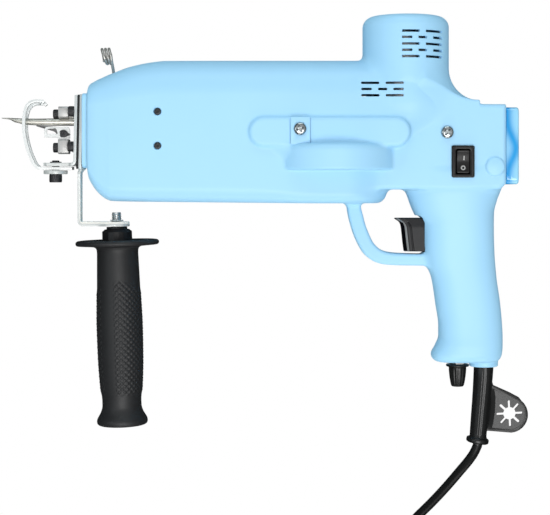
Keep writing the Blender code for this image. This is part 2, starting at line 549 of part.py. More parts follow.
# ---------------------------------------------------------------- motor
o = finish("motor_can", lathe_bm("y", (HUMP_X, 0), [(22.0, 16.0), (22.0, 80.5), (20.5, 82.0), (6.0, 82.0), (6.0, 86.0)], 28))
cut(o, lathe_bm("y", (HUMP_X, 0), [(20.2, 10.0), (20.2, 80.2)], 28))
material(o, (0.25, 0.26, 0.27), 0.35, 0.9)
o = finish("motor_end_plate", lathe_bm("y", (HUMP_X, 0), [(22.0, 12.6), (22.0, 15.7)], 28))
cut(o, lathe_bm("y", (HUMP_X, 0), [(3.4, 10), (3.4, 20)], 14))
material(o, ALU, 0.4, 1.0)
o = finish("motor_rotor", lathe_bm("y", (HUMP_X, 0), [(2.5, -5.5), (2.5, 26.0), (8.0, 26.01), (7.0, 34.0), (14.5, 34.01), (14.5, 66.0), (8.0, 66.01), (8.0, 74.0), (2.5, 74.01), (2.5, 79.2)], 16),
           origin=(HUMP_X, 0, 0))
material(o, COPPER, 0.4, 0.8)


# ---------------------------------------------------------------- gears
def gear_outline(cx, cz, teeth, phase, slack=0.22, depth=1.2):
    """Involute tooth widths at the root and the tip, joined by straight flanks."""
    pitch = MODULE * teeth / 2
    base = pitch * math.cos(math.radians(20))
    tip, root = pitch + 0.92 * MODULE, pitch - depth * MODULE
    inv = math.tan(math.radians(20)) - math.radians(20)

    def half(r):
        r = max(r, base)
        a = math.acos(base / r)
        return math.pi / (2 * teeth) + inv - (math.tan(a) - a) - slack / 2 / pitch

    pts = []
    low = max(root, base)
    for i in range(teeth):
        c = phase + 2 * math.pi * i / teeth
        for r, h in ((root, -half(low)), (tip, -half(tip)), (tip, half(tip)), (root, half(low))):
            pts.append((cx + r * math.cos(c + h), cz + r * math.sin(c + h)))
    return pts


# tooth of the gear points at the pinion, whose gap faces it
o = finish("drive_gear", prism_bm(gear_outline(DRUM_X, 0, GEAR_TEETH, 0.0), "y", -3.0, 3.0), origin=(DRUM_X, 0, 0))
cut(o, lathe_bm("y", (DRUM_X, 0), [(5.3, -10), (5.3, 10)], 16))
material(o, WHITE, 0.5)
o = finish("pinion", prism_bm(gear_outline(HUMP_X, 0, PINION_TEETH, math.pi + math.pi / PINION_TEETH), "y", -3.6, 3.6), origin=(HUMP_X, 0, 0))
cut(o, lathe_bm("y", (HUMP_X, 0), [(2.8, -10), (2.8, 10)], 14))
material(o, BRASS, 0.3, 1.0)
o = finish("gear_shaft", lathe_bm("y", (DRUM_X, 0), [(6.0, -16.0), (6.0, -12.4), (5.0, -12.39), (5.0, 4.6)], 16))
material(o, STEEL, 0.2, 1.0)
o = finish("gear_frame", prism_bm(rounded(-27.0, 62.0, -19.5, 19.5, 6, 3), "y", -12.0, -9.4))
cut(o, lathe_bm("y", (DRUM_X, 0), [(5.3, -20), (5.3, 0)], 16))
material(o, STEEL, 0.35, 1.0)
o = finish("crank_pin", lathe_bm("y", (DRUM_X - CRANK_R, 0), [(5.4, 3.3), (5.4, 5.6), (3.5, 5.61), (3.5, 12.2)], 16), origin=(DRUM_X, 0, 0))
cut(o, lathe_bm("y", (DRUM_X, 0), [(5.3, 0), (5.3, 10)], 16))
material(o, STEEL, 0.2, 1.0)
PINX = DRUM_X - CRANK_R
o = finish("connecting_rod", lathe_bm("y", (PINX, 0), [(9.0, 6.4), (9.0, 11.4)], 20), origin=(PINX, 0, 0))
add(o, lathe_bm("y", (PINX - ROD_LENGTH, 0), [(7.0, 6.4), (7.0, 11.4)], 18))
add(o, box_bm(PINX - ROD_LENGTH + 3, PINX - 3, 6.9, 10.9, -4.2, 4.2))
cut(o, lathe_bm("y", (PINX, 0), [(3.8, 0), (3.8, 20)], 16))
cut(o, lathe_bm("y", (PINX - ROD_LENGTH, 0), [(3.3, 0), (3.3, 20)], 16))
material(o, ALU, 0.4, 1.0)

# ---------------------------------------------------------------- grip: trigger, switch, speed control
trigger = [(38.5, -40.7), (48.0, -40.0), (57.4, -39.6), (65.0, -42.0), (65.0, -61.0), (58.0, -63.1), (45.2, -61.6), (44.2, -56.0), (43.8, -51.0), (43.2, -45.6), (41.4, -42.6)]
o = finish("trigger", prism_bm(trigger, "z", -6.2, 6.2), origin=(56.0, -52.0, 0))
material(o, BLACK, 0.45)
o = finish("trigger_switch", prism_bm(rounded(70.6, 99.5, -73.0, -38.0, 2, 2), "z", -9.5, 9.5))
material(o, BLACK, 0.5)
o = finish("control_board", box_bm(72.0, 102.0, -108.0, -78.0, -0.8, 0.8))
material(o, GREEN, 0.5)
o = finish("speed_pot", lathe_bm("y", (81.4, 0), [(2.9, -139.8), (2.9, -140.5), (3.5, -140.49), (3.5, -128.4), (8.4, -128.39), (8.4, -117.0)], 16))
material(o, STEEL, 0.35, 0.9)
knob = [(4.2, -153.0), (6.1, -150.0), (6.1, -142.0), (7.7, -141.6), (7.7, -137.9)]
o = finish("speed_knob", lathe_bm("y", (81.4, 0), knob, 24), origin=(81.4, -145.0, 0))
cut(o, lathe_bm("y", (81.4, 0), [(3.9, -145.0), (3.9, -130.0)], 14))
cut(o, box_bm(81.0, 81.8, -152.6, -141.0, 5.5, 9.0))
material(o, BLACK, 0.5)

# rocker switch: framed housing in the flank window and the paddle in it
RX, RY = 82.6, -2.8
o = finish("rocker_housing", prism_bm(rounded(RX - 7.5, RX + 7.5, RY - 10.5, RY + 10.5, 1.0, 2), "z", 23.45, 25.3))
add(o, box_bm(RX - 6.5, RX + 6.5, RY - 9.4, RY + 9.4, 6.0, 24.0))
cut(o, box_bm(RX - 4.6, RX + 4.6, RY - 8.2, RY + 8.2, 16.0, 30.0))
material(o, BLACK, 0.4)
paddle = [(RY - 7.4, 25.9), (RY - 4.0, 25.1), (RY, 24.7), (RY + 4.0, 25.4), (RY + 7.2, 26.6), (RY + 7.0, 23.4), (RY + 2.5, 19.2), (RY - 2.5, 19.2), (RY - 7.0, 21.6)]
o = finish("rocker", prism_bm(paddle, "x", RX - 4.1, RX + 4.1), origin=(RX, RY, 22.0))
material(o, BLACK, 0.4)

# ---------------------------------------------------------------- lead: boot, cord, coil, tie, plug
BOOT = [(98.8, -126.0, 4.6), (98.8, -139.2, 4.6), (98.8, -139.7, 4.6), (98.85, -139.9, 6.55), (98.5, -147.0, 6.45), (97.4, -161.0, 6.1), (95.9, -178.0, 5.75), (95.15, -186.6, 5.65),
        (95.05, -187.4, 7.3), (94.55, -190.6, 7.3)]


def boot_rings(n=16):
    rings = []
    for i, (x, y, r) in enumerate(BOOT):
        a, b = BOOT[max(i - 1, 0)], BOOT[min(i + 1, len(BOOT) - 1)]
        dx, dy = b[0] - a[0], b[1] - a[1]
        d = math.hypot(dx, dy)
        ux, uy = -dy / d, dx / d
        if i < 4:
            ux, uy = 1.0, 0.0
        rings.append([(x + ux * r * math.cos(2 * math.pi * k / n), y + uy * r * math.cos(2 * math.pi * k / n), r * math.sin(2 * math.pi * k / n)) for k in range(n)])
    return rings


o = finish("cord_boot", loft_bm(boot_rings()))
flap = [(99.0, -150.2), (104.9, -152.6), (116.0, -157.2), (121.9, -160.1)]
flap += [(116.4 + 11.9 * math.cos(math.radians(a)), -171.8 + 11.9 * math.sin(math.radians(a))) for a in range(50, -76, -15)]
flap += [(117.9, -183.2), (102.5, -182.0), (96.5, -181.0)]
add(o, prism_bm(flap, "z", -1.3, 1.3))
cut(o, lathe_bm("z", (116.2, -171.0), [(4.3, -5), (4.3, 5)], 16))
for k in range(8):
    a = math.radians(3 + 45 * k)
    c, s = math.cos(a), math.sin(a)
    cut(o, prism_bm([(116.2 + c * u - s * v, -171.0 + s * u + c * v) for u, v in ((0, -0.8), (8.7, -0.8), (8.7, 0.8), (0, 0.8))], "z", -5, 5))
material(o, RUBBER, 0.6)

# The lead leaves the boot, sinks to the surface and runs to a tied coil beside the tool;
# a short tail ends in a two-pin plug. Row coordinates, millimetres.
COIL_C, COIL_Z = (124.74, -269.05), 1.3
LEAD = [(145.24, -149.75, 54.2), (143.3, -154.55, 54.0), (139.9, -160.55, 51.6), (134.6, -169.15, 46.0), (129.4, -178.55, 38.4), (123.8, -188.55, 29.2),
        (118.4, -197.55, 20.6), (113.2, -205.15, 13.8), (108.24, -212.55, 8.4), (102.64, -219.95, 5.0), (96.44, -227.65, 3.6), (89.44, -235.65, 3.25)]
TAIL = [(76.09, -271.45, 3.2), (75.84, -277.95, 3.2), (74.44, -285.45, 3.2), (70.84, -293.55, 3.3), (65.04, -300.35, 4.0), (57.64, -305.45, 6.2), (47.99, -307.85, 7.0)]
PLUG_AT, PLUG_TURN = (47.79, -307.90, 7.0), 194.0


# straight for the first few millimetres, square to the boot's end face
o = tube_object("cord", [LEAD[0]] + smooth_path(LEAD[1:], 2.3 * CORD_D), CORD_D, 2, parent=False)
material(o, BLACK, 0.5)
o = tube_object("cord_tail", smooth_path(TAIL[:-1], 2.3 * CORD_D) + [TAIL[-1]], CORD_D, 2, parent=False)
material(o, BLACK, 0.5)

profile = [(COIL_R + COIL_HALF * c, COIL_Z + COIL_H / 2 + COIL_H / 2 * s) for c, s in
           ((-1, -0.7), (-0.7, -1), (0.7, -1), (1, -0.7), (1, 0.7), (0.7, 1), (-0.7, 1), (-1, 0.7))]
bm = bmesh.new()
rows = []
N = 32
for i in range(N):
    t = 2 * math.pi * i / N
    rows.append([bm.verts.new((COIL_C[0] + r * math.cos(t), COIL_C[1] + r * math.sin(t), z)) for r, z in profile])
for i in range(N):
    a, b = rows[i], rows[(i + 1) % N]
    for j in range(len(profile)):
        k = (j + 1) % len(profile)
        bm.faces.new((a[j], b[j], b[k], a[k]))
o = finish("cord_coil", bm, parent=False)
material(o, BLACK, 0.5)

tie_in = rounded(COIL_C[0] + COIL_R - COIL_HALF - 1.0, COIL_C[0] + COIL_R + COIL_HALF + 0.4, COIL_Z - 0.35, COIL_Z + COIL_H + 0.4, 2.0, 2)
tie_out = rounded(COIL_C[0] + COIL_R - COIL_HALF - 1.9, COIL_C[0] + COIL_R + COIL_HALF + 1.3, COIL_Z - 1.25, COIL_Z + COIL_H + 1.3, 2.6, 2)
bm = bmesh.new()
rows = []
for y in (COIL_C[1] - 5.0, COIL_C[1] + 5.0):
    rows.append(([bm.verts.new((x, y, z)) for x, z in tie_out], [bm.verts.new((x, y, z)) for x, z in tie_in]))
m = len(tie_in)
for i in range(m):
    j = (i + 1) % m
    (ao, ai), (bo, bi) = rows
    bm.faces.new((ao[i], ao[j], bo[j], bo[i]))
    bm.faces.new((ai[j], ai[i], bi[i], bi[j]))
    bm.faces.new((ao[j], ao[i], ai[i], ai[j]))
    bm.faces.new((bo[i], bo[j], bi[j], bi[i]))
o = finish("coil_tie", bm, parent=False)
material(o, BLACK, 0.8)

# plug: the lead enters at its own origin and the pins point along +x before it is turned
outline = [(0.3, -5.6), (6.0, -7.0), (17.0, -12.4), (36.0, -13.2), (37.0, -12.2), (37.0, 12.2), (36.0, 13.2), (17.0, 12.4), (6.0, 7.0), (0.3, 5.6)]
o = finish("plug", prism_bm(outline, "z", -6.9, 6.9), parent=False)
for y in (-9.3, 9.3):
    add(o, lathe_bm("x", (y, 0), [(2.0, 34.0), (2.0, 54.6), (1.3, 55.8)], 12))
o.location = Vector(PLUG_AT) * 0.001
o.rotation_euler = (0, 0, math.radians(PLUG_TURN))
material(o, BLACK, 0.4)
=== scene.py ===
"""Looks of the tufting tool: moulded blue body in two halves, black rubber handle, steel
needle gear, switches, boot, lead, on a pale floor under soft studio light.

Every piece is modelled in the tool's own axes in millimetres (x to the rear, y up, z to
the side with the rocker switch) and placed by TOOL. The lead and its plug are in row axes.
"""
import math

import bmesh
import bpy
import numpy as np
from mathutils import Matrix, Vector


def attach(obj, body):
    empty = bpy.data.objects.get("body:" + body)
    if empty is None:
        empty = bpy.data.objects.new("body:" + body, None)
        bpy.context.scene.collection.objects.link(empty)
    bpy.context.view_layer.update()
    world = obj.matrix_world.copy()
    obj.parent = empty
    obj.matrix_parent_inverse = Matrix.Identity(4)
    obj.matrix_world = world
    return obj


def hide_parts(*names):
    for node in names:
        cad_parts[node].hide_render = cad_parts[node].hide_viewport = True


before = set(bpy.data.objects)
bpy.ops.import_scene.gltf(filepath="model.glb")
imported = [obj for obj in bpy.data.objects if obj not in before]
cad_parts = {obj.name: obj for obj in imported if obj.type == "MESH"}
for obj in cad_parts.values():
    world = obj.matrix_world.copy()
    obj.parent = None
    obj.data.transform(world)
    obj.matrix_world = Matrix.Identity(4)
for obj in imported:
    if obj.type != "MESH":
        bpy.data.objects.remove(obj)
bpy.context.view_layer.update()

TILT = -6.30
OFFSET = (50.78, 42.23, 43.81)
TOOL = Matrix.Translation(Vector(OFFSET) * 0.001) @ Matrix.Rotation(math.radians(TILT), 4, "Y")
ROW = Matrix.Identity(4)


def to_row(p):
    """Tool millimetres to row metres."""
    return TOOL @ (Vector(p) * 0.001)


# ================================================================ camera
cam = bpy.data.cameras.new("camera")
cam.sensor_width = 36.0
cam.lens = 97.69
cam.shift_y = -0.1227
cam.clip_start, cam.clip_end = 0.05, 20.0
camera = bpy.data.objects.new("camera", cam)
bpy.context.scene.collection.objects.link(camera)
camera.matrix_world = TOOL @ Matrix.Translation((-0.04087, -0.02144, 1.0))
bpy.context.scene.camera = camera


# ================================================================ materials
def node(tree, kind, place=(0, 0), **values):
    n = tree.nodes.new(kind)
    n.location = place
    for k, v in values.items():
        setattr(n, k, v)
    return n


def material(name, colour, rough, metal=0.0, vary=0.05, vary_scale=55.0, tint=None, grain=0.0, grain_scale=1800.0,
             rough_vary=0.06, bump=0.15, depth=0.00006, stretch=(1, 1, 1), coat=0.0, coat_rough=0.1, spec=0.5,
             dust=0.0, dust_colour=(0.35, 0.34, 0.32), worn=0.0, worn_colour=(0.5, 0.5, 0.5), sss=0.0):
    """Principled surface whose colour, roughness and fine relief come from noise in object space."""
    m = bpy.data.materials.new(name)
    m.use_nodes = True
    t = m.node_tree
    b = t.nodes["Principled BSDF"]
    b.inputs["Metallic"].default_value = metal
    b.inputs["Specular IOR Level"].default_value = spec
    b.inputs["Coat Weight"].default_value = coat
    b.inputs["Coat Roughness"].default_value = coat_rough
    if sss:
        b.inputs["Subsurface Weight"].default_value = sss
        b.inputs["Subsurface Radius"].default_value = (0.0006, 0.0012, 0.0022)
        b.inputs["Subsurface Scale"].default_value = 1.0
    co = node(t, "ShaderNodeTexCoord", (-1400, 0))
    mp = node(t, "ShaderNodeMapping", (-1200, 0))
    mp.inputs["Scale"].default_value = stretch
    t.links.new(co.outputs["Object"], mp.inputs["Vector"])

    def noise(scale, detail, place, rough_=0.5):
        n = node(t, "ShaderNodeTexNoise", place)
        n.inputs["Scale"].default_value = scale
        n.inputs["Detail"].default_value = detail
        n.inputs["Roughness"].default_value = rough_
        t.links.new(mp.outputs["Vector"], n.inputs["Vector"])
        return n

    large = noise(vary_scale, 3.0, (-1000, 250))
    fine = noise(grain_scale, 2.0, (-1000, -150), 0.6)
    a = tuple(c * (1 - vary) for c in colour)
    z = tuple(min(1.0, c * (1 + vary)) for c in (tint or colour))
    ramp = node(t, "ShaderNodeMix", (-760, 250), data_type="RGBA")
    ramp.inputs[6].default_value = (*a, 1)
    ramp.inputs[7].default_value = (*z, 1)
    t.links.new(large.outputs["Fac"], ramp.inputs[0])
    out = ramp.outputs[2]
    if grain:
        g = node(t, "ShaderNodeMix", (-560, 250), data_type="RGBA", blend_type="MULTIPLY")
        g.inputs[0].default_value = grain
        t.links.new(out, g.inputs[6])
        t.links.new(fine.outputs["Color"], g.inputs[7])
        out = g.outputs[2]
    if dust:
        spots = noise(vary_scale * 9, 6.0, (-1000, 520), 0.7)
        lim = node(t, "ShaderNodeMapRange", (-760, 520))
        for k, v in ((1, 0.52), (2, 0.78), (3, 0.0), (4, dust)):
            lim.inputs[k].default_value = v
        t.links.new(spots.outputs["Fac"], lim.inputs[0])
        d = node(t, "ShaderNodeMix", (-380, 350), data_type="RGBA")
        d.inputs[7].default_value = (*dust_colour, 1)
        t.links.new(lim.outputs[0], d.inputs[0])
        t.links.new(out, d.inputs[6])
        out = d.outputs[2]
    if worn:
        geo = node(t, "ShaderNodeNewGeometry", (-1000, 800))
        lim = node(t, "ShaderNodeMapRange", (-760, 800))
        for k, v in ((1, 0.53), (2, 0.66), (3, 0.0), (4, worn)):
            lim.inputs[k].default_value = v
        t.links.new(geo.outputs["Pointiness"], lim.inputs[0])
        w = node(t, "ShaderNodeMix", (-200, 400), data_type="RGBA")
        w.inputs[7].default_value = (*worn_colour, 1)
        t.links.new(lim.outputs[0], w.inputs[0])
        t.links.new(out, w.inputs[6])
        out = w.outputs[2]
    t.links.new(out, b.inputs["Base Color"])
    r = node(t, "ShaderNodeMapRange", (-760, -100))
    for k, v in ((1, 0.3), (2, 0.7), (3, max(0.02, rough - rough_vary)), (4, min(1.0, rough + rough_vary))):
        r.inputs[k].default_value = v
    t.links.new(fine.outputs["Fac"], r.inputs[0])
    t.links.new(r.outputs[0], b.inputs["Roughness"])
    if bump:
        bp = node(t, "ShaderNodeBump", (-400, -300))
        bp.inputs["Strength"].default_value = bump
        bp.inputs["Distance"].default_value = depth
        t.links.new(fine.outputs["Fac"], bp.inputs["Height"])
        t.links.new(bp.outputs["Normal"], b.inputs["Normal"])
    m.diffuse_color = (*colour, 1)
    return m


M = {
    "body": material("moulded_blue", (0.362, 0.650, 0.888), 0.44, vary=0.012, vary_scale=22, tint=(0.377, 0.665, 0.898), grain_scale=1500,
                     rough_vary=0.05, bump=0.10, depth=0.00005, spec=0.42),
    "cover": material("glossy_deep_blue", (0.03, 0.33, 0.74), 0.12, vary=0.02, vary_scale=18, tint=(0.04, 0.36, 0.77), grain_scale=500,
                      rough_vary=0.03, bump=0.04, depth=0.0001, coat=0.25, coat_rough=0.06),
    "rubber": material("ribbed_rubber", (0.013, 0.013, 0.014), 0.50, vary=0.18, vary_scale=60, grain_scale=2600, rough_vary=0.08, bump=0.25,
                       depth=0.00007, spec=0.38, dust=0.10, dust_colour=(0.05, 0.05, 0.052)),
    "boot": material("boot_rubber", (0.008, 0.008, 0.008), 0.27, vary=0.2, vary_scale=70, grain_scale=2400, rough_vary=0.07, bump=0.12,
                     depth=0.00005, spec=0.34),
    "black": material("black_moulding", (0.008, 0.0078, 0.009), 0.36, vary=0.15, vary_scale=90, grain_scale=2600, rough_vary=0.06, bump=0.18,
                      depth=0.00005, spec=0.28),
    "switch": material("switch_black", (0.009, 0.008, 0.008), 0.34, vary=0.15, vary_scale=90, grain_scale=3000, rough_vary=0.06, bump=0.15,
                       depth=0.00004, spec=0.22),
    "cord": material("lead_jacket", (0.008, 0.008, 0.008), 0.32, vary=0.15, vary_scale=120, grain_scale=1600, rough_vary=0.08, bump=0.2,
                     depth=0.00006, spec=0.12, dust=0.04, dust_colour=(0.05, 0.05, 0.05)),
    "zinc": material("zinc_plate", (0.57, 0.575, 0.56), 0.38, 0.25, vary=0.06, vary_scale=160, tint=(0.62, 0.63, 0.62), grain_scale=900,
                     rough_vary=0.06, bump=0.04, depth=0.00003, stretch=(1, 0.35, 1), dust=0.08, dust_colour=(0.46, 0.46, 0.43)),
    "dull_zinc": material("zinc_inner_face", (0.90, 0.86, 0.80), 0.62, 0.0, vary=0.10, vary_scale=140, tint=(0.92, 0.88, 0.82), grain_scale=900,
                          rough_vary=0.08, bump=0.06, depth=0.00004, stretch=(1, 0.35, 1)),
    "foot": material("polished_foot", (0.73, 0.73, 0.72), 0.34, 0.25, vary=0.04, vary_scale=120, grain_scale=900, rough_vary=0.05, bump=0.02,
                     depth=0.00002, stretch=(1, 0.4, 1)),
    "needle": material("needle_steel", (0.60, 0.585, 0.53), 0.36, 0.9, vary=0.10, vary_scale=200, grain_scale=1500, rough_vary=0.08, bump=0.08,
                       depth=0.00003, stretch=(0.15, 1, 1)),
    "steel": material("turned_steel", (0.68, 0.68, 0.67), 0.22, 1.0, vary=0.08, vary_scale=200, grain_scale=1500, rough_vary=0.08, bump=0.06,
                      depth=0.00003, stretch=(1, 0.2, 1)),
    "block": material("clamp_block_steel", (0.49, 0.485, 0.475), 0.48, 0.8, vary=0.12, vary_scale=260, grain_scale=1400, rough_vary=0.10, bump=0.12,
                      depth=0.00005, stretch=(0.3, 1, 1)),
    "blade": material("ground_blade", (0.72, 0.72, 0.71), 0.34, 0.30, vary=0.14, vary_scale=300, grain_scale=1800, rough_vary=0.10, bump=0.10,
                      depth=0.00004, stretch=(0.2, 1, 1)),
    "dark_blade": material("dark_blade", (0.13, 0.13, 0.13), 0.30, 1.0, vary=0.2, vary_scale=300, grain_scale=1800, rough_vary=0.10, bump=0.10,
                           depth=0.00004, stretch=(0.2, 1, 1)),
    "screw": material("black_oxide", (0.030, 0.030, 0.032), 0.36, 0.6, vary=0.2, vary_scale=300, grain_scale=2600, rough_vary=0.10, bump=0.15,
                      depth=0.00004, worn=0.25, worn_colour=(0.18, 0.18, 0.18)),
    "chrome": material("bright_screw", (0.40, 0.43, 0.44), 0.20, 1.0, vary=0.08, vary_scale=400, grain_scale=2000, rough_vary=0.06, bump=0.06,
                       depth=0.00003),
    "wire": material("spring_wire", (0.40, 0.385, 0.36), 0.34, 0.55, vary=0.15, vary_scale=400, grain_scale=2000, rough_vary=0.10, bump=0.08,
                     depth=0.00003),
    "gasket": material("gasket_black", (0.02, 0.02, 0.02), 0.7, vary=0.2, vary_scale=200, grain_scale=2500, bump=0.3, depth=0.00008, spec=0.25),
    "mark": material("mark_white", (0.42, 0.41, 0.40), 0.5, vary=0.04, vary_scale=200, grain_scale=2500, bump=0.1, depth=0.00003),
    # painted shade: near-black with no reflection, for the trigger's faces turned to the front
    "dark": material("painted_shade_black", (0.003, 0.003, 0.004), 0.60, vary=0.15, vary_scale=90, grain_scale=2600, bump=0.12, depth=0.00004, spec=0.0),
    # painted highlight: a lighter grey for the rounded band between the trigger's front and its side
    "glint": material("painted_highlight_edge", (0.20, 0.20, 0.20), 0.22, vary=0.1, vary_scale=90, grain_scale=2600, rough_vary=0.03, bump=0.05,
                      depth=0.00003, spec=0.75, coat=0.6, coat_rough=0.08),
    "gear": material("hardened_gear", (0.085, 0.085, 0.09), 0.36, 0.9, vary=0.12, vary_scale=60, grain_scale=1500, bump=0.12),
    "brass": material("brass", (0.72, 0.50, 0.20), 0.28, 1.0, vary=0.08, vary_scale=200, grain_scale=1500, bump=0.06),
    "alu": material("cast_aluminium", (0.62, 0.63, 0.64), 0.42, 1.0, vary=0.08, vary_scale=120, grain_scale=900, rough_vary=0.12, bump=0.35, depth=0.0001),
    "motor": material("motor_can_steel", (0.30, 0.31, 0.32), 0.34, 1.0, vary=0.10, vary_scale=60, grain_scale=1200, bump=0.08, stretch=(1, 0.3, 1)),
    "copper": material("wound_copper", (0.55, 0.23, 0.09), 0.34, 0.9, vary=0.15, vary_scale=120, grain_scale=900, bump=0.5, depth=0.0003, stretch=(1, 6, 1)),
    "board": material("board_green", (0.02, 0.20, 0.08), 0.38, vary=0.15, vary_scale=300, grain_scale=1500, bump=0.1, coat=0.3),
    "pin": material("plated_pin", (0.72, 0.70, 0.62), 0.22, 1.0, vary=0.06, vary_scale=200, grain_scale=1500, bump=0.05),
}


# ================================================================ mesh tools (millimetres)
AXES = {"x": lambda a, b, h: (h, a, b), "y": lambda a, b, h: (a, h, b), "z": lambda a, b, h: (a, b, h)}


def paint_cover_reflection(m, deep, pale):
    """Painted reflection on the cover: a deep blue band bows from the front edge to the rear edge and back, between
    paler fields that are painted highlight.
    """
    t = m.node_tree
    b = t.nodes["Principled BSDF"]
    at = node(t, "ShaderNodeSeparateXYZ", (-1200, -600))
    t.links.new(next(n for n in t.nodes if n.bl_idname == "ShaderNodeTexCoord").outputs["Object"], at.inputs[0])

    def calc(kind, *args):
        n = node(t, "ShaderNodeMath", (-900, -600), operation=kind)
        for k, v in enumerate(args):
            if isinstance(v, (int, float)):
                n.inputs[k].default_value = v
            else:
                t.links.new(v, n.inputs[k])
        return n.outputs[0]

    def bell(v):
        return calc("EXPONENT", calc("MULTIPLY", calc("MULTIPLY", v, v), -1.0))

    bow = bell(calc("MULTIPLY_ADD", at.outputs[1], 1000.0 / 10.5, -6.0 / 10.5))
    line = calc("MULTIPLY_ADD", bow, 0.0056, 0.1116)
    band = bell(calc("MULTIPLY", calc("SUBTRACT", at.outputs[0], line), 1000.0 / 3.3))
    mix = node(t, "ShaderNodeMix", (-300, 150), data_type="RGBA")
    mix.inputs[6].default_value = (*pale, 1)
    mix.inputs[7].default_value = (*deep, 1)
    t.links.new(band, mix.inputs[0])
    soft = node(t, "ShaderNodeMix", (-150, 150), data_type="RGBA")
    soft.inputs[0].default_value = 0.95
    t.links.new(b.inputs["Base Color"].links[0].from_socket, soft.inputs[6])
    t.links.new(mix.outputs[2], soft.inputs[7])
    t.links.new(soft.outputs[2], b.inputs["Base Color"])


# painted reflection: the pale fields stand in for the lamps' reflection on the glossy cover, the deep band for the
# shade between them
paint_cover_reflection(M["cover"], (0.008, 0.31, 0.70), (0.33, 0.66, 0.88))


def loft(rings, bm=None, closed=True):
    bm = bm or bmesh.new()
    rows = [[bm.verts.new(p) for p in ring] for ring in rings]
    n = len(rows[0])
    for a, b in zip(rows, rows[1:]):
        for i in range(n):
            bm.faces.new((a[i], a[(i + 1) % n], b[(i + 1) % n], b[i]))
    if closed:
        bm.faces.new(list(reversed(rows[0])))
        bm.faces.new(rows[-1])
    return bm


def prism(outline, axis, lo, hi, bm=None):
    put = AXES[axis]
    return loft([[put(a, b, lo) for a, b in outline], [put(a, b, hi) for a, b in outline]], bm)


def arcs(points, radius, seg=4, loop=True, least=0.02):
    """The outline with each corner rounded to radius, or to what its sides allow."""
    n, out = len(points), []
    radii = radius if isinstance(radius, (list, tuple)) else [radius] * n
    for i, p in enumerate(points):
        if not loop and i in (0, n - 1) or radii[i] < least:
            out.append(tuple(p))
            continue
        a, b = np.array(points[i - 1], float), np.array(points[(i + 1) % n], float)
        p = np.array(p, float)
        u, v = a - p, b - p
        lu, lv = np.hypot(*u), np.hypot(*v)
        u, v = u / lu, v / lv
        ang = math.acos(max(-1, min(1, float(u @ v))))
        if ang > math.radians(176):
            out.append(tuple(p))
            continue
        d = min(radii[i] / math.tan(ang / 2), lu * 0.48, lv * 0.48)
        r = d * math.tan(ang / 2)
        mid = (u + v) / np.hypot(*(u + v))
        c = p + mid * r / math.sin(ang / 2)
        s, e = p + u * d - c, p + v * d - c
        a0, a1 = math.atan2(s[1], s[0]), math.atan2(e[1], e[0])
        da = (a1 - a0 + math.pi) % (2 * math.pi) - math.pi
        for k in range(seg + 1):
            t = a0 + da * k / seg
            out.append((c[0] + r * math.cos(t), c[1] + r * math.sin(t)))
    return out


def lathe(axis, centre, profile, n=48, bm=None, shape=None):
    """Turned solid; profile is (radius, height) from one end to the other. shape(angle, height) adds to the radius."""
    put = AXES[axis]
    rings = []
    for r, h in profile:
        ring = []
        for i in range(n):
            t = 2 * math.pi * i / n
            q = max(r + (shape(t, h) if shape else 0.0), 0.001)
            ring.append(put(centre[0] + q * math.cos(t), centre[1] + q * math.sin(t), h))
        rings.append(ring)
    return loft(rings, bm)


def turned(axis, centre, profile, round_=0.3, n=48, seg=3, shape=None):
    return lathe(axis, centre, arcs(profile, round_, seg, loop=False), n, shape=shape)


def rounded(x0, x1, y0, y1, r, k=5):
    return arcs([(x0, y0), (x1, y0), (x1, y1), (x0, y1)], r, k)


def circle(cx, cy, r, n, start=0.0):
    return [(cx + r * math.cos(start + 2 * math.pi * i / n), cy + r * math.sin(start + 2 * math.pi * i / n)) for i in range(n)]


def box(x0, x1, y0, y1, z0, z1):
    return prism([(x0, y0), (x1, y0), (x1, y1), (x0, y1)], "z", z0, z1)


def soften(bm, width, seg=2, angle=30):
    """Bevels every edge sharper than angle."""
    bmesh.ops.recalc_face_normals(bm, faces=bm.faces)
    edges = [e for e in bm.edges if len(e.link_faces) == 2 and e.calc_face_angle(0) > math.radians(angle)]
    bmesh.ops.bevel(bm, geom=edges, offset=width, offset_type="OFFSET", segments=seg, profile=0.5, affect="EDGES", clamp_overlap=True)
    return bm


def mesh_object(name, bm):
    bmesh.ops.recalc_face_normals(bm, faces=bm.faces)
    me = bpy.data.meshes.new(name)
    bm.to_mesh(me)
    bm.free()
    o = bpy.data.objects.new(name, me)
    bpy.context.scene.collection.objects.link(o)
    return o


def combine(target, other, operation="DIFFERENCE", solver="MANIFOLD"):
    """Boolean of two bmeshes or of an object and a bmesh, both closed; returns the object."""
    o = target if isinstance(target, bpy.types.Object) else mesh_object("work", target)
    c = other if isinstance(other, bpy.types.Object) else mesh_object("cutter", other)
    m = o.modifiers.new("cut", "BOOLEAN")
    m.operation, m.solver, m.object = operation, solver, c
    bpy.context.view_layer.update()
    me = bpy.data.meshes.new_from_object(o.evaluated_get(bpy.context.evaluated_depsgraph_get()))
    o.modifiers.clear()
    old = o.data
    o.data = me
    bpy.data.meshes.remove(old)
    gone = c.data
    bpy.data.objects.remove(c, do_unlink=True)
    bpy.data.meshes.remove(gone)
    return o


def to_bmesh(o):
    bm = bmesh.new()
    bm.from_mesh(o.data)
    me = o.data
    bpy.data.objects.remove(o, do_unlink=True)
    bpy.data.meshes.remove(me)
    bmesh.ops.remove_doubles(bm, verts=bm.verts, dist=1e-4)
    bmesh.ops.dissolve_degenerate(bm, edges=bm.edges, dist=1e-4)
    return bm


def cut(bm, *tools, solver="MANIFOLD"):
    o = mesh_object("work", bm)
    for t in tools:
        combine(o, t, "DIFFERENCE", solver)
    return to_bmesh(o)


def fuse(bm, *tools, solver="MANIFOLD"):
    o = mesh_object("work", bm)
    for t in tools:
        combine(o, t, "UNION", solver)
    return to_bmesh(o)


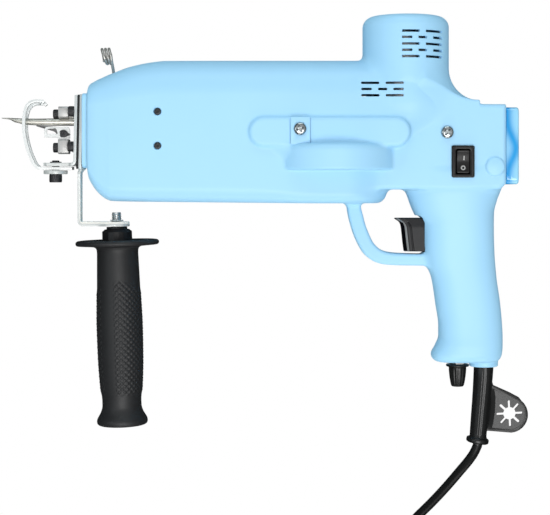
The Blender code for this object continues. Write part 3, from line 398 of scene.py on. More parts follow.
def piece(name, shape, mat, body="body", stands_for=(), place=TOOL, angle=38, keep_normals=False):
    """A finished piece: shape in millimetres, its material, the body it rides on and the CAD nodes it stands for."""
    if isinstance(shape, bpy.types.Object):
        o = shape
        o.name = name
    else:
        o = mesh_object(name, shape)
    o.data.name = name
    if not keep_normals:
        co = np.empty(len(o.data.vertices) * 3)
        o.data.vertices.foreach_get("co", co)
        o.data.vertices.foreach_set("co", co * 0.001)
        o.data.shade_smooth()
        o.data.set_sharp_from_angle(angle=math.radians(angle))
    else:
        o.data.transform(place)
        place = Matrix.Identity(4)
    o.data.materials.clear()
    o.data.materials.append(M[mat])
    o.matrix_world = place
    bpy.context.view_layer.update()
    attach(o, body)
    if stands_for:
        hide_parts(*([stands_for] if isinstance(stands_for, str) else stands_for))
    return o


def tube(path, radius, n=12, taper=None, closed=False):
    """Round tube along points; radius may be a list. Ends are domed a little."""
    pts = [Vector(p) for p in path]
    radii = radius if isinstance(radius, (list, tuple)) else [radius] * len(pts)
    tan = [(pts[min(i + 1, len(pts) - 1)] - pts[max(i - 1, 0)]).normalized() for i in range(len(pts))]
    up = Vector((0, 0, 1)) if abs(tan[0].z) < 0.9 else Vector((1, 0, 0))
    u = tan[0].cross(up).normalized()
    rings = []
    for i, (p, t) in enumerate(zip(pts, tan)):
        u = (u - t * u.dot(t)).normalized()
        v = t.cross(u)
        r = radii[i]
        ring = [p + u * r * math.cos(2 * math.pi * k / n) + v * r * math.sin(2 * math.pi * k / n) for k in range(n)]
        if i == 0:
            rings.append([p - t * r * 0.25 + (q - p) * 0.6 for q in ring])
        rings.append(ring)
        if i == len(pts) - 1:
            rings.append([p + t * r * 0.25 + (q - p) * 0.6 for q in ring])
    return loft(rings)


def smooth_path(points, step, per=24):
    pts = [Vector(p) for p in points]
    pts = [pts[0] * 2 - pts[1]] + pts + [pts[-1] * 2 - pts[-2]]
    dense = []
    for i in range(1, len(pts) - 2):
        p0, p1, p2, p3 = pts[i - 1:i + 3]
        for k in range(per):
            t = k / per
            dense.append(0.5 * ((2 * p1) + (p2 - p0) * t + (2 * p0 - 5 * p1 + 4 * p2 - p3) * t * t + (3 * p1 - p0 - 3 * p2 + p3) * t ** 3))
    dense.append(pts[-2])
    d = np.array([tuple(p) for p in dense])
    s = np.concatenate([[0], np.cumsum(np.linalg.norm(np.diff(d, axis=0), axis=1))])
    count = max(2, round(s[-1] / step))
    q = np.linspace(0, s[-1], count + 1)
    return [tuple(p) for p in np.stack([np.interp(q, s, d[:, k]) for k in range(3)], axis=1)]


# ================================================================ lead (row millimetres)
COIL_C = (124.74, -269.05)
LEAD = [(145.24, -149.75, 54.2), (143.3, -154.55, 54.0), (139.9, -160.55, 51.6), (134.6, -169.15, 46.0), (129.4, -178.55, 38.4), (123.8, -188.55, 29.2),
        (118.4, -197.55, 20.6), (113.2, -205.15, 13.8), (108.24, -212.55, 8.4), (102.64, -219.95, 5.0), (96.44, -227.65, 3.6), (89.44, -235.65, 3.25)]
TAIL = [(76.09, -271.45, 3.6), (75.84, -277.95, 3.2), (74.44, -285.45, 3.2), (70.84, -293.55, 3.3), (65.04, -300.35, 4.0), (57.64, -305.45, 6.2), (47.99, -307.85, 7.0)]
CORD_D = 6.3


def winding():
    """Radius and height of the lead round the coil, by turned angle from where it comes in."""
    keys = [(0, 48.4, 3.3), (48, 42.0, 4.2), (130, 41.9, 4.45), (300, 41.9, 4.45), (380, 35.5, 4.45), (660, 35.5, 4.45), (740, 29.1, 4.45), (1020, 29.1, 4.5),
            (1100, 29.1, 10.8), (1380, 29.1, 10.8), (1460, 35.5, 10.8), (1740, 35.5, 10.8), (1820, 29.3, 17.2), (2100, 29.3, 17.2), (2180, 35.6, 17.2),
            (2460, 35.6, 17.2), (2545, 41.9, 10.9), (2830, 41.9, 10.8), (2880, 42.4, 10.9), (2903, 46.4, 9.8), (2925, 48.65, 4.4)]
    a = np.array([k[0] for k in keys], float)
    out = []
    q = np.arange(0, 2925.1, 15.0)
    # eased steps between the keys
    i = np.clip(np.searchsorted(a, q, side="right") - 1, 0, len(a) - 2)
    t = (q - a[i]) / (a[i + 1] - a[i])
    t = t * t * (3 - 2 * t)
    for ang, j, w in zip(q, i, t):
        r = keys[j][1] * (1 - w) + keys[j + 1][1] * w
        z = keys[j][2] * (1 - w) + keys[j + 1][2] * w
        th = math.radians(136.6 + ang)
        out.append((COIL_C[0] + r * math.cos(th), COIL_C[1] + r * math.sin(th), z))
    return out


route = [LEAD[0]] + smooth_path(LEAD[1:], 5.0)[:-1] + winding()[:-1] + smooth_path(TAIL, 5.0)
cu = bpy.data.curves.new("mains_lead", "CURVE")
cu.dimensions = "3D"
cu.bevel_depth = CORD_D / 2 * 0.001
cu.bevel_resolution = 5
cu.use_fill_caps = True
sp = cu.splines.new("NURBS")
sp.points.add(len(route) - 1)
for q, p in zip(sp.points, route):
    q.co = (p[0] * 0.001, p[1] * 0.001, p[2] * 0.001, 1)
sp.order_u = 4
sp.use_endpoint_u = True
sp.resolution_u = 3
lead = bpy.data.objects.new("mains_lead", cu)
bpy.context.scene.collection.objects.link(lead)
cu.materials.append(M["cord"])
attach(lead, "body")
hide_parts("cord", "cord_coil", "cord_tail")

# plug: the lead enters at its own origin, the pins point along +x before it is turned
PLUG = Matrix.Translation(Vector((47.79, -307.90, 7.0)) * 0.001) @ Matrix.Rotation(math.radians(194), 4, "Z")


def plug_body():
    rings = []
    for x, w, h, p in ((0.3, 4.6, 4.6, 2.0), (0.8, 5.3, 5.2, 2.0), (6.0, 6.0, 5.6, 2.1), (9.0, 7.2, 6.0, 2.4), (13.0, 9.9, 6.5, 3.0), (17.0, 12.0, 6.8, 3.6), (22.0, 12.8, 6.9, 4.2),
                       (28.0, 13.0, 6.9, 4.4), (35.4, 13.2, 6.9, 4.4), (36.6, 12.9, 6.6, 4.4), (37.0, 12.3, 6.0, 4.4)):
        ring = []
        for i in range(56):
            t = 2 * math.pi * i / 56
            c, s = math.cos(t), math.sin(t)
            k = (abs(c) ** p + abs(s) ** p) ** (-1 / p)
            ring.append((x, w * c * k, h * s * k))
        rings.append(ring)
    bm = loft(rings)
    tools = []
    for i in range(5):      # finger grooves on both flanks of the body
        for s in (1, -1):
            tools.append(prism([(19.5 + 3.0 * i, s * 16), (20.7 + 3.0 * i, s * 16), (20.7 + 3.0 * i, s * 11.9), (19.5 + 3.0 * i, s * 11.9)], "z", -8, 8))
    for i in range(3):      # ribs of the strain relief
        tools.append(cut(turned("x", (0, 0), [(9.0, 1.6 + 2.1 * i), (9.0, 2.6 + 2.1 * i)], 0, 32), lathe("x", (0, 0), [(4.7, 1.0 + 2.1 * i), (4.7, 3.4 + 2.1 * i)], 32)))
    return soften(cut(bm, *tools), 0.18, 1, 40)


plug = piece("mains_plug", plug_body(), "black", "body", "plug", place=PLUG)
for i, y in enumerate((-9.3, 9.3)):
    sleeve = turned("x", (y, 0), [(0.01, 36.6), (2.05, 36.6), (2.05, 46.2), (1.95, 46.3), (0.01, 46.3)], 0.05, 28)
    s_ = piece(f"pin_sleeve_{i + 1}", sleeve, "black", "body", (), place=PLUG)
    pin = turned("x", (y, 0), [(0.01, 46.2), (1.98, 46.2), (1.98, 54.6), (1.3, 55.75), (0.01, 55.8)], 0.5, 28, 4)
    p_ = piece(f"plug_pin_{i + 1}", pin, "pin", "body", (), place=PLUG)
    s_.parent = plug
    s_.matrix_parent_inverse = plug.matrix_world.inverted()
    p_.parent = plug
    p_.matrix_parent_inverse = plug.matrix_world.inverted()

# tie round the coil, a hook-and-loop band with its free end lapped
ri, ro, z0, z1 = 25.8, 45.2, 1.3, 20.7
tie_in = rounded(COIL_C[0] + ri - 0.2, COIL_C[0] + ro + 0.2, z0 - 0.2, z1 + 0.2, 2.6, 6)
tie_out = rounded(COIL_C[0] + ri - 1.3, COIL_C[0] + ro + 1.2, z0 - 1.2, z1 + 1.25, 3.4, 6)
band = bmesh.new()
rows = []
for y in np.linspace(COIL_C[1] - 5.0, COIL_C[1] + 5.0, 9):
    rows.append(([band.verts.new((x, y, z)) for x, z in tie_out], [band.verts.new((x, y, z)) for x, z in tie_in]))
n_ = len(tie_in)
for (ao, ai), (bo, bi) in zip(rows, rows[1:]):
    for i in range(n_):
        j = (i + 1) % n_
        band.faces.new((ao[i], ao[j], bo[j], bo[i]))
        band.faces.new((ai[j], ai[i], bi[i], bi[j]))
for (oo, ii), flip in ((rows[0], 1), (rows[-1], -1)):
    for i in range(n_):
        j = (i + 1) % n_
        f = (oo[j], oo[i], ii[i], ii[j])
        band.faces.new(f if flip > 0 else f[::-1])
lap = prism(rounded(COIL_C[0] + 28.0, COIL_C[0] + 42.5, COIL_C[1] - 4.8, COIL_C[1] + 4.8, 1.5, 4), "z", z1 + 0.9, z1 + 1.75)
tie = piece("coil_tie_band", soften(band, 0.25, 2, 40), "gasket", "body", "coil_tie", place=ROW)
tie_lap = piece("coil_tie_lap", soften(lap, 0.2, 2), "gasket", "body", (), place=ROW)


# ================================================================ body: one smooth field, cut into two halves
def table(xs, ys, n=3000):
    """Monotone cubic through the points, read from a fine table."""
    xs, ys = np.asarray(xs, float), np.asarray(ys, float)
    h = np.diff(xs)
    d = np.diff(ys) / h
    m = np.zeros_like(xs)
    same = d[:-1] * d[1:] > 0
    w1, w2 = 2 * h[1:] + h[:-1], h[1:] + 2 * h[:-1]
    with np.errstate(divide="ignore", invalid="ignore"):
        m[1:-1] = np.where(same, (w1 + w2) / (w1 / d[:-1] + w2 / d[1:]), 0.0)
    m[0], m[-1] = d[0], d[-1]
    q = np.linspace(xs[0], xs[-1], n)
    i = np.clip(np.searchsorted(xs, q, side="right") - 1, 0, len(xs) - 2)
    t = (q - xs[i]) / h[i]
    v = (ys[i] * (1 + 2 * t) * (1 - t) ** 2 + h[i] * m[i] * t * (1 - t) ** 2 + ys[i + 1] * t * t * (3 - 2 * t) + h[i] * m[i + 1] * t * t * (t - 1))
    return lambda a: np.interp(a, q, v)


def smin(a, b, k):
    h = np.clip(0.5 + 0.5 * (b - a) / k, 0, 1)
    return b * (1 - h) + a * h - k * h * (1 - h)


def smax(a, b, k):
    return -smin(-a, -b, k)


def step(t):
    t = np.clip(t, 0, 1)
    return t * t * (3 - 2 * t)


def round_union(a, b, r):
    return np.maximum(np.minimum(a, b), r) - np.hypot(np.maximum(r - a, 0), np.maximum(r - b, 0))


def rbox2(a, b, r):
    """Two distances to a corner, rounded with radius r."""
    qa, qb = a + r, b + r
    return np.minimum(np.maximum(qa, qb), 0) + np.hypot(np.maximum(qa, 0), np.maximum(qb, 0)) - r


FRONT = [(-164.5, 47.6, -9.6, 23.9, 14, 8), (-163.1, 49.0, -14.2, 25.0, 16, 8), (-160.9, 50.3, -18.2, 25.9, 17, 8.5), (-158.2, 51.8, -22.0, 26.5, 18, 9), (-155.0, 53.3, -25.2, 26.9, 19, 9.3),
         (-151.8, 54.9, -27.4, 27.2, 20, 9.5), (-148.4, 56.3, -28.6, 27.6, 21, 10), (-136.7, 60.7, -29.0, 28, 23, 10), (-122.8, 63.65, -29.2, 28, 24, 10), (-113.0, 64.6, -29.3, 28, 24, 10),
         (-60.0, 64.7, -29.8, 28, 24, 10), (-10.0, 64.7, -30.2, 28, 24, 7), (5.6, 64.7, -30.2, 28, 24, 7), (40.0, 64.7, -30.2, 28, 24, 7), (80.0, 40.0, -30.2, 28, 16, 7)]
F_TOP, F_BOT, F_HALF, F_RT, F_RB = (table([s[0] for s in FRONT], [s[i] for s in FRONT]) for i in range(1, 6))
REAR_TOP = table([30, 86, 90.6, 91.6, 94.2, 95.6, 114], [37.7, 37.7, 37.6, 37.3, 35.3, 35.0, 34.9])
GRIP = [(-8.0, 50.0, 110.6, 22.9), (-12.0, 49.4, 110.6, 22.9), (-20.5, 46.6, 110.0, 22.6), (-28.5, 48.8, 107.3, 21.9), (-36.9, 52.2, 105.4, 20.7), (-45.0, 57.0, 105.3, 19.4),
        (-64.0, 58.6, 105.8, 17.9), (-72.0, 60.8, 106.4, 17.5), (-79.6, 63.8, 107.1, 17.3), (-97.5, 66.7, 109.6, 17.2),
        (-112.6, 68.7, 110.9, 17.5), (-119.1, 68.7, 111.2, 17.8), (-125.7, 66.3, 111.2, 18.2), (-131.0, 63.7, 110.7, 18.2), (-134.0, 63.5, 110.4, 18.0), (-138.0, 63.5, 110.4, 18.0)]
_g = sorted(GRIP)
G_X0, G_X1, G_HALF = (table([g[0] for g in _g], [g[i] for g in _g]) for i in (1, 2, 3))
GUARD_OUT = [(5.2, -22.0), (6.4, -24.0), (7.2, -30.8), (8.0, -37.5), (10.0, -45.6), (12.7, -53.6), (16.8, -61.6), (20.1, -65.7), (26.1, -69.7), (34.4, -71.4), (59.6, -71.7), (70.0, -71.7)]
GUARD_IN = [(14.6, -22.0), (15.6, -31.2), (17.4, -37.5), (19.4, -45.6), (22.8, -53.6), (25.0, -57.6), (29.5, -61.6), (36.2, -63.7), (55.1, -64.3), (70.0, -64.3)]


def chaikin(p, rounds=2):
    for _ in range(rounds):
        q = [p[0]]
        for a, b in zip(p, p[1:]):
            q += [(a[0] * 0.75 + b[0] * 0.25, a[1] * 0.75 + b[1] * 0.25), (a[0] * 0.25 + b[0] * 0.75, a[1] * 0.25 + b[1] * 0.75)]
        p = q + [p[-1]]
    return p


GUARD = np.array(chaikin(GUARD_OUT) + list(reversed(chaikin(GUARD_IN))))


def polygon_distance(x, y, poly):
    best = np.full(x.shape, 1e9)
    inside = np.zeros(x.shape, bool)
    for (ax, ay), (bx, by) in zip(poly, np.roll(poly, -1, axis=0)):
        ex, ey = bx - ax, by - ay
        t = np.clip(((x - ax) * ex + (y - ay) * ey) / (ex * ex + ey * ey + 1e-12), 0, 1)
        best = np.minimum(best, (x - ax - t * ex) ** 2 + (y - ay - t * ey) ** 2)
        cross = (ay > y) != (by > y)
        with np.errstate(divide="ignore", invalid="ignore"):
            inside ^= cross & (x < (bx - ax) * (y - ay) / (by - ay) + ax)
    return np.where(inside, -1, 1) * np.sqrt(best)


def barrel(x, y, z, top, bottom, half, rt, rb):
    cy, hy = (top + bottom) / 2, (top - bottom) / 2
    r = np.where(y > cy, rt, rb)
    qy, qz = np.abs(y - cy) - hy + r, z - half + r
    return np.minimum(np.maximum(qy, qz), 0) + np.hypot(np.maximum(qy, 0), np.maximum(qz, 0)) - r


def flank(x, y):
    """Half width of the body where its side is a plane: wide under the hump, narrower at the switch and behind the drum."""
    t, u = step((y - 15) / 30), step((y + 4) / 34)
    x0, x1 = 12 + 31 * u + 6 * t, 33 + 34 * u + 13 * t
    f = 23.2 + 4.8 * (1 - step((x - x0) / (x1 - x0)))
    f = f + (23.2 - f) * step((-1 - y) / 6)
    return f + (32 - f) * step((y - 45) / 17)


def within(x, y, z, lo, hi):
    return (x > lo[0]) & (x < hi[0]) & (y > lo[1]) & (y < hi[1]) & (z > lo[2]) & (z < hi[2])


def body_field(x, y, z, trim=True):
    """Below zero inside the moulded body. trim adds guard, raised panel, boss and collars to the plain hull."""
    z = np.abs(z)
    far = 40.0
    f = np.full(x.shape, far)

    def part(lo, hi, fn):
        m = within(x, y, z, lo, hi)
        out = np.full(x.shape, far)
        if m.any():
            out[m] = fn(x[m], y[m], z[m])
        return out

    def front(x, y, z):
        e = 0.01
        top, bot, half = F_TOP(x), F_BOT(x), F_HALF(x)
        d = barrel(x, y, z, top, bot, half, F_RT(x), F_RB(x))
        d2 = barrel(x + e, y, z, F_TOP(x + e), F_BOT(x + e), F_HALF(x + e), F_RT(x + e), F_RB(x + e))
        d = d / np.sqrt(1 + ((d2 - d) / e) ** 2)
        d = smax(d, -164.5 - x, 1.6)
        low = np.maximum(d, x - 5.6)
        high = np.maximum(np.maximum(barrel(x, y, z, top, bot, np.minimum(half, flank(x, y)), F_RT(x), F_RB(x)), x - 76.0), np.maximum(1.0 - y, -100.0 - x))
        cyl = np.maximum(rbox2(np.hypot(np.maximum(x - 5.6, 0), z) - 28.0, np.maximum(-30.2 - y, y + 3), 7.0), 5.6 - x)
        return np.minimum(np.minimum(low, high), cyl)

    a = part((-185, -50, -1), (95, 85, 46), front)
    rear = part((10, -40, -1), (130, 60, 46), lambda x, y, z: rbox2(rbox2(np.maximum(np.maximum(y - REAR_TOP(x), x - 110.8), 0.74 * (x - 110.8) - 0.673 * (y + 17.0)), -21.1 - y, 1.5), z - flank(x, y), 2.8))
    rho = lambda x, z: np.hypot(x - 46.6, z)
    hump = part((-15, 28, -1), (110, 115, 46), lambda x, y, z: rbox2(rho(x, z) - 27.2 - 1.6 * step((y - 42) / 18), np.maximum(y - 94.8 + 0.0011 * rho(x, z) ** 2, 30 - y), 7.0))
    skirt = part((-15, 28, -1), (115, 115, 46), lambda x, y, z: smax(smax(smax(round_union(rho(x, z) - 28.8, y - 37.8, 2 + 20 * step((x - 46) / 12)), z - flank(x, y), 1.3), x - 93.5, 1.0),
                                                                 np.maximum(y - 86, 34 - y), 1.0))
    f = smin(a, hump, 5.0)
    f = np.minimum(smin(f, rear, 0.01 + 5.0 * step((-3.0 - y) / 5)), skirt)
    grip = part((25, -150, -1), (135, 0, 46), grip_field)
    f = smin(f, grip, 4.0)
    if trim:
        drum = part((-70, -25, -1), (65, 25, 60), lambda x, y, z: np.maximum(rbox2(np.hypot(x + 0.9, z) - 43.7, y - 9.0, 4.6), rbox2(np.hypot(x + 0.9, z) - 43.7, -8.2 - y, 1.6)))
        f = smin(f, drum, 1.6 + 8.0 * step((-20 - x) / 20) * step((y + 3) / 9))
        cap = part((-80, -10, 10), (70, 40, 46), capsule)
        f = smin(f, cap, 2.4)
        boss = part((85, -25, 10), (125, 15, 46), lambda x, y, z: rbox2(np.hypot(x - 103.3, y + 6.1) - 6.2, z - 25.2 + 0.022 * ((x - 103.3) ** 2 + (y + 6.1) ** 2), 0.8))
        f = smin(f, boss, 0.9)
        guard = part((-12, -88, -1), (85, -12, 20), lambda x, y, z: rbox2(polygon_distance(x, y, GUARD) - 0.15, z - 7.5, 1.8))
        f = smin(f, guard, 4.0)
        collar = part((-180, -20, -1), (-150, 56, 34), lambda x, y, z: rbox2(rbox2(np.maximum(y - 42.3, -6.9 - y), z - 21.0, 5.0), np.maximum(-167.85 - x, x + 158), 0.7))
        f = smin(f, collar, 0.8)
        ring = part((80, -150, -1), (118, -120, 20), lambda x, y, z: rbox2(np.hypot(x - 98.8, z) - 9.6, np.maximum(-139.4 - y, y + 130), 0.8))
        f = smin(f, ring, 1.2)
    return f


def grip_field(x, y, z):
    x0, x1, half = G_X0(y), G_X1(y), G_HALF(y)
    cx, rx = (x0 + x1) / 2, (x1 - x0) / 2
    p = 2.6
    a, b = np.abs(x - cx) / rx, z / half
    n = (a ** p + b ** p) ** (1 / p) + 1e-9
    g = np.hypot(a ** (p - 1) / rx, b ** (p - 1) / half) * n ** (1 - p)
    d = (n - 1) / np.maximum(g, 0.01)
    return smax(smax(d, -136.0 - y, 6.0), y + 9.0, 3.0)


def capsule(x, y, z):
    r = 9.7
    d = np.hypot(np.maximum(np.abs(x + 5.15) - (52.55 - r), 0), y - 16.6) - r
    return np.maximum(rbox2(d, z - 31.0, 2.4), 12 - z)


def surface(field, lo, hi, h, level=0.0, coarse=4, relax=2):
    """Closed quad surface of field = level, one point to each crossed cell, drawn onto the true surface."""
    n = [int(math.ceil((b - a) / h)) + 1 for a, b in zip(lo, hi)]
    nc = [int(math.ceil((k - 1) / coarse)) + 1 for k in n]
    cax = [lo[i] + coarse * h * np.arange(nc[i]) for i in range(3)]
    C = field(*[g.ravel() for g in np.meshgrid(*cax, indexing="ij")]).reshape(nc) - level
    near = np.abs(C) < coarse * h * 2.2
    act = np.zeros([k - 1 for k in nc], bool)
    for i in (0, 1):
        for j in (0, 1):
            for k in (0, 1):
                act |= near[i:nc[0] - 1 + i, j:nc[1] - 1 + j, k:nc[2] - 1 + k]
    sign = np.where(C[:-1, :-1, :-1] < 0, -10.0, 10.0)
    big = lambda a: np.repeat(np.repeat(np.repeat(a, coarse, 0), coarse, 1), coarse, 2)
    F, mask = big(sign), big(act)
    full = [s for s in F.shape]
    F = np.pad(F, [(0, 1)] * 3, mode="edge")
    mask = np.pad(mask, [(0, 1)] * 3, mode="edge")
    mask[1:, :, :] |= mask[:-1, :, :]
    mask[:, 1:, :] |= mask[:, :-1, :]
    mask[:, :, 1:] |= mask[:, :, :-1]
    i, j, k = np.nonzero(mask)
    lo_ = np.array(lo, float)
    F[i, j, k] = field(lo_[0] + h * i, lo_[1] + h * j, lo_[2] + h * k) - level
    neg = F < 0
    s = np.zeros([q - 1 for q in F.shape], np.uint8)
    corners = [(a, b, c) for a in (0, 1) for b in (0, 1) for c in (0, 1)]
    for a, b, c in corners:
        s += neg[a:F.shape[0] - 1 + a, b:F.shape[1] - 1 + b, c:F.shape[2] - 1 + c]
    ci, cj, ck = np.nonzero((s > 0) & (s < 8))
    ids = np.full(s.shape, -1, np.int64)
    ids[ci, cj, ck] = np.arange(len(ci))
    V = {c: F[ci + c[0], cj + c[1], ck + c[2]] for c in corners}
    acc, cnt = np.zeros((len(ci), 3)), np.zeros(len(ci))
    for p in corners:
        for ax in range(3):
            if p[ax] == 0:
                q = tuple(v + (1 if m == ax else 0) for m, v in enumerate(p))
                cross = (V[p] < 0) != (V[q] < 0)
                t = np.where(cross, V[p] / np.where(cross, V[p] - V[q], 1), 0)
                pos = np.array(p, float)[None, :].repeat(len(ci), 0)
                pos[:, ax] += t
                acc += pos * cross[:, None]
                cnt += cross
    P = lo_ + h * (np.stack([ci, cj, ck], 1) + acc / cnt[:, None])
    faces = []
    for ax in range(3):
        u, v = (ax + 1) % 3, (ax + 2) % 3
        a = [slice(None)] * 3
        b = [slice(None)] * 3
        a[ax], b[ax] = slice(None, -1), slice(1, None)
        change = neg[tuple(a)] != neg[tuple(b)]
        e = np.stack(np.nonzero(change), 1)
        ok = (e[:, u] > 0) & (e[:, v] > 0) & (e[:, u] < F.shape[u] - 1) & (e[:, v] < F.shape[v] - 1)
        e = e[ok]
        out_plus = neg[e[:, 0], e[:, 1], e[:, 2]]
        quad = []
        for du, dv in ((-1, -1), (0, -1), (0, 0), (-1, 0)):
            c = e.copy()
            c[:, u] += du
            c[:, v] += dv
            quad.append(ids[c[:, 0], c[:, 1], c[:, 2]])
        quad = np.stack(quad, 1)
        quad[~out_plus] = quad[~out_plus][:, ::-1]
        faces.append(quad)
    Q = np.concatenate(faces)
    fld = lambda p: field(p[:, 0], p[:, 1], p[:, 2]) - level

    def draw(P, times):
        for _ in range(times):
            f = fld(P)
            g = gradient(fld, P)
            gg = np.maximum((g * g).sum(1), 0.2)
            P = P - g * np.clip(f / gg, -0.8 * h, 0.8 * h)[:, None]
        return P

    P = draw(P, 2)
    A = np.concatenate([Q[:, [0, 1]], Q[:, [1, 2]], Q[:, [2, 3]], Q[:, [3, 0]]])
    for _ in range(relax):
        deg = np.bincount(A[:, 0], minlength=len(P)) + np.bincount(A[:, 1], minlength=len(P))
        mean = np.stack([np.bincount(A[:, 0], P[A[:, 1], k], len(P)) + np.bincount(A[:, 1], P[A[:, 0], k], len(P)) for k in range(3)], 1) / deg[:, None]
        move = 0.6 * (mean - P)
        keep = P[:, 2] < lo[2] + 3 * h
        move[keep] = 0
        P = draw(P + move, 1)
    return P, Q


def gradient(fld, P, e=0.04):
    g = np.empty_like(P)
    for k in range(3):
        d = np.zeros(3)
        d[k] = e
        g[:, k] = (fld(P + d) - fld(P - d)) / (2 * e)
    return g


def quads_object(name, P, Q):
    me = bpy.data.meshes.new(name)
    me.vertices.add(len(P))
    me.vertices.foreach_set("co", P.ravel().astype(np.float32))
    me.loops.add(Q.size)
    me.loops.foreach_set("vertex_index", Q.ravel().astype(np.int32))
    me.polygons.add(len(Q))
    me.polygons.foreach_set("loop_start", np.arange(0, Q.size, 4, dtype=np.int32))
    me.update(calc_edges=True)
    me.validate()
    o = bpy.data.objects.new(name, me)
    bpy.context.scene.collection.objects.link(o)
    return o


GRID = 0.95
# closed a little past the middle plane, then cut square at the parting gap
half_field = lambda trim: (lambda x, y, z: np.maximum(body_field(x, y, z, trim), -(z + 2.2)))
P_out, Q_out = surface(half_field(True), (-175, -145, -4.4), (120, 101, 50), GRID)
P_in, Q_in = surface(lambda x, y, z: np.maximum(body_field(x, y, z, False) + 2.5, -(z + 3.4)), (-172, -145, -6.0), (120, 101, 48), 2.2, coarse=3, relax=1)


def slot_bar(x0, x1, y, s, z0=24.0, z1=30.5, h=0.82):
    return prism(rounded(x0, x1, y - h, y + h, 0.7, 4), "z", min(s * z0, s * z1), max(s * z0, s * z1))


def slot_arc(a0, a1, y, s, h=0.84, r0=23.0, r1=31.0):
    """Slot through the round hump from angle a0 to a1, measured from the side towards the rear."""
    pts = []
    n = max(4, int((a1 - a0) / 4))
    angs = [math.radians(a0 + (a1 - a0) * i / n) for i in range(n + 1)]
    pts = [(46.6 + r1 * math.sin(a), s * r1 * math.cos(a)) for a in angs] + [(46.6 + r0 * math.sin(a), s * r0 * math.cos(a)) for a in reversed(angs)]
    return prism(pts, "y", y - h, y + h)


def joined(shapes):
    """Several separate closed shapes as one cutter."""
    bm = bmesh.new()
    for s in shapes:
        bmesh.ops.recalc_face_normals(s, faces=s.faces)
        me = bpy.data.meshes.new("t")
        s.to_mesh(me)
        s.free()
        bm.from_mesh(me)
        bpy.data.meshes.remove(me)
    return bm


def vents(s):
    out = []
    for i, y in enumerate((48.5, 44.4, 40.3)):
        y -= 0 if s > 0 else 2.05      # staggered on the far side, so that nothing shows through both
        runs = ((15.3, 22.2), (26.3, 32.3), (36.2, 43.0)) if i == 1 else ((15.3, 27.2), (31.3, 43.0))
        out += [slot_bar(a, b, y, s, 22.0) for a, b in runs]
    for i, y in enumerate((82.4, 78.3, 74.0, 69.9, 65.8)):
        runs = ((-9.6, 4.0), (12.0, 24.0), (33.7, 52.0)) if i % 2 else ((-9.6, 13.7), (22.4, 52.0))
        out += [slot_arc(a, b, y, s) for a, b in runs]
    return out


def openings():
    out = [
        box(-178, -158, -1.5, 37.5, -10.0, 10.0),
        box(103, 120, -13.0, 29.0, -16.0, 16.0),
        fuse(box(50, 71.5, -62.9, -38.6, -6.9, 6.9),
             prism(arcs([(50.0, -38.3), (54.8, -38.3), (57.2, -39.8), (58.7, -43.2), (58.7, -61.0), (57.2, -63.4), (50.0, -63.4)], [0, 2, 2, 2.5, 2, 1, 0], 5), "z", -26.0, 26.0)),
        lathe("y", (98.8, 0), [(6.0, -145.0), (6.0, -126.0)], 40),
        lathe("y", (81.4, 0), [(3.9, -145.0), (3.9, -128.0)], 32),
        lathe("y", (-148.8, 0), [(1.3, 48.0), (1.3, 62.0)], 20),
    ]
    return out


def moulding(s):
    """One half of the body: s is 1 for the side with the switch and -1 for the other."""
    P, Q, PI, QI = P_out.copy(), Q_out, P_in.copy(), Q_in
    if s < 0:
        P[:, 2] *= -1
        PI[:, 2] *= -1
        Q, QI = Q[:, ::-1], QI[:, ::-1]
    o = quads_object("half", P, Q)
    combine(o, quads_object("hollow", PI, QI))
    combine(o, joined(openings()))
    combine(o, joined(vents(s)))
    combine(o, joined([lathe("y", (-0.9, 0), [(21.0, -6.0), (21.0, 13.5)], 48)]))
    if s > 0:
        combine(o, joined([box(-31.2, -30.8, 8.6, 26.0, 30.0, 34.0), box(-18.1, -17.7, 8.6, 26.0, 30.0, 34.0)]))
        combine(o, joined([box(75.7, 89.5, -12.6, 7.0, 12.0, 34.0)] + [turned("z", (-117.5, y), [(2.35, 20.0), (2.35, 26.9), (2.75, 27.6), (3.3, 32.0)], 0, 32) for y in (29.8, 7.5)]
                          + [lathe("z", (-24.6, 18.2), [(1.9, 20.0), (1.9, 34.0)], 20), lathe("z", (71.9, 16.4), [(1.9, 15.0), (1.9, 30.0)], 20)]))
    combine(o, box(-200, 150, -160, 120, min(s * 0.13, s * 60), max(s * 0.13, s * 60)), "INTERSECT")
    me = o.data
    me.shade_smooth()
    me.set_sharp_from_angle(angle=math.radians(32))
    nl, nv = len(me.loops), len(me.vertices)
    co = np.empty(nv * 3)
    me.vertices.foreach_get("co", co)
    co = co.reshape(-1, 3)
    lv = np.empty(nl, np.int32)
    me.loops.foreach_get("vertex_index", lv)
    own = np.empty(nl * 3)
    me.corner_normals.foreach_get("vector", own)
    own = own.reshape(-1, 3)
    fn = np.empty(len(me.polygons) * 3)
    me.polygons.foreach_get("normal", fn)
    fn = fn.reshape(-1, 3)
    ls, lt = np.empty(len(me.polygons), np.int32), np.empty(len(me.polygons), np.int32)
    me.polygons.foreach_get("loop_start", ls)
    me.polygons.foreach_get("loop_total", lt)
    fl = fn[np.repeat(np.arange(len(ls)), lt)]
    order = np.concatenate([np.arange(a, a + b) for a, b in zip(ls, lt)]) if not np.array_equal(np.repeat(ls, lt) + 0, np.arange(nl)) else np.arange(nl)
    face_of = np.empty((nl, 3))
    face_of[order] = fl
    fld = lambda p: body_field(p[:, 0], p[:, 1], p[:, 2])
    f = fld(co)
    g = gradient(fld, co, 0.25)
    g /= np.maximum(np.linalg.norm(g, axis=1), 1e-6)[:, None]
    gl = g[lv]
    use = (np.abs(f[lv]) < 0.06) & ((gl * face_of).sum(1) > 0.75)
    own[use] = gl[use]
    me.vertices.foreach_set("co", (co * 0.001).ravel())
    me.normals_split_custom_set([tuple(v) for v in own])
    return o


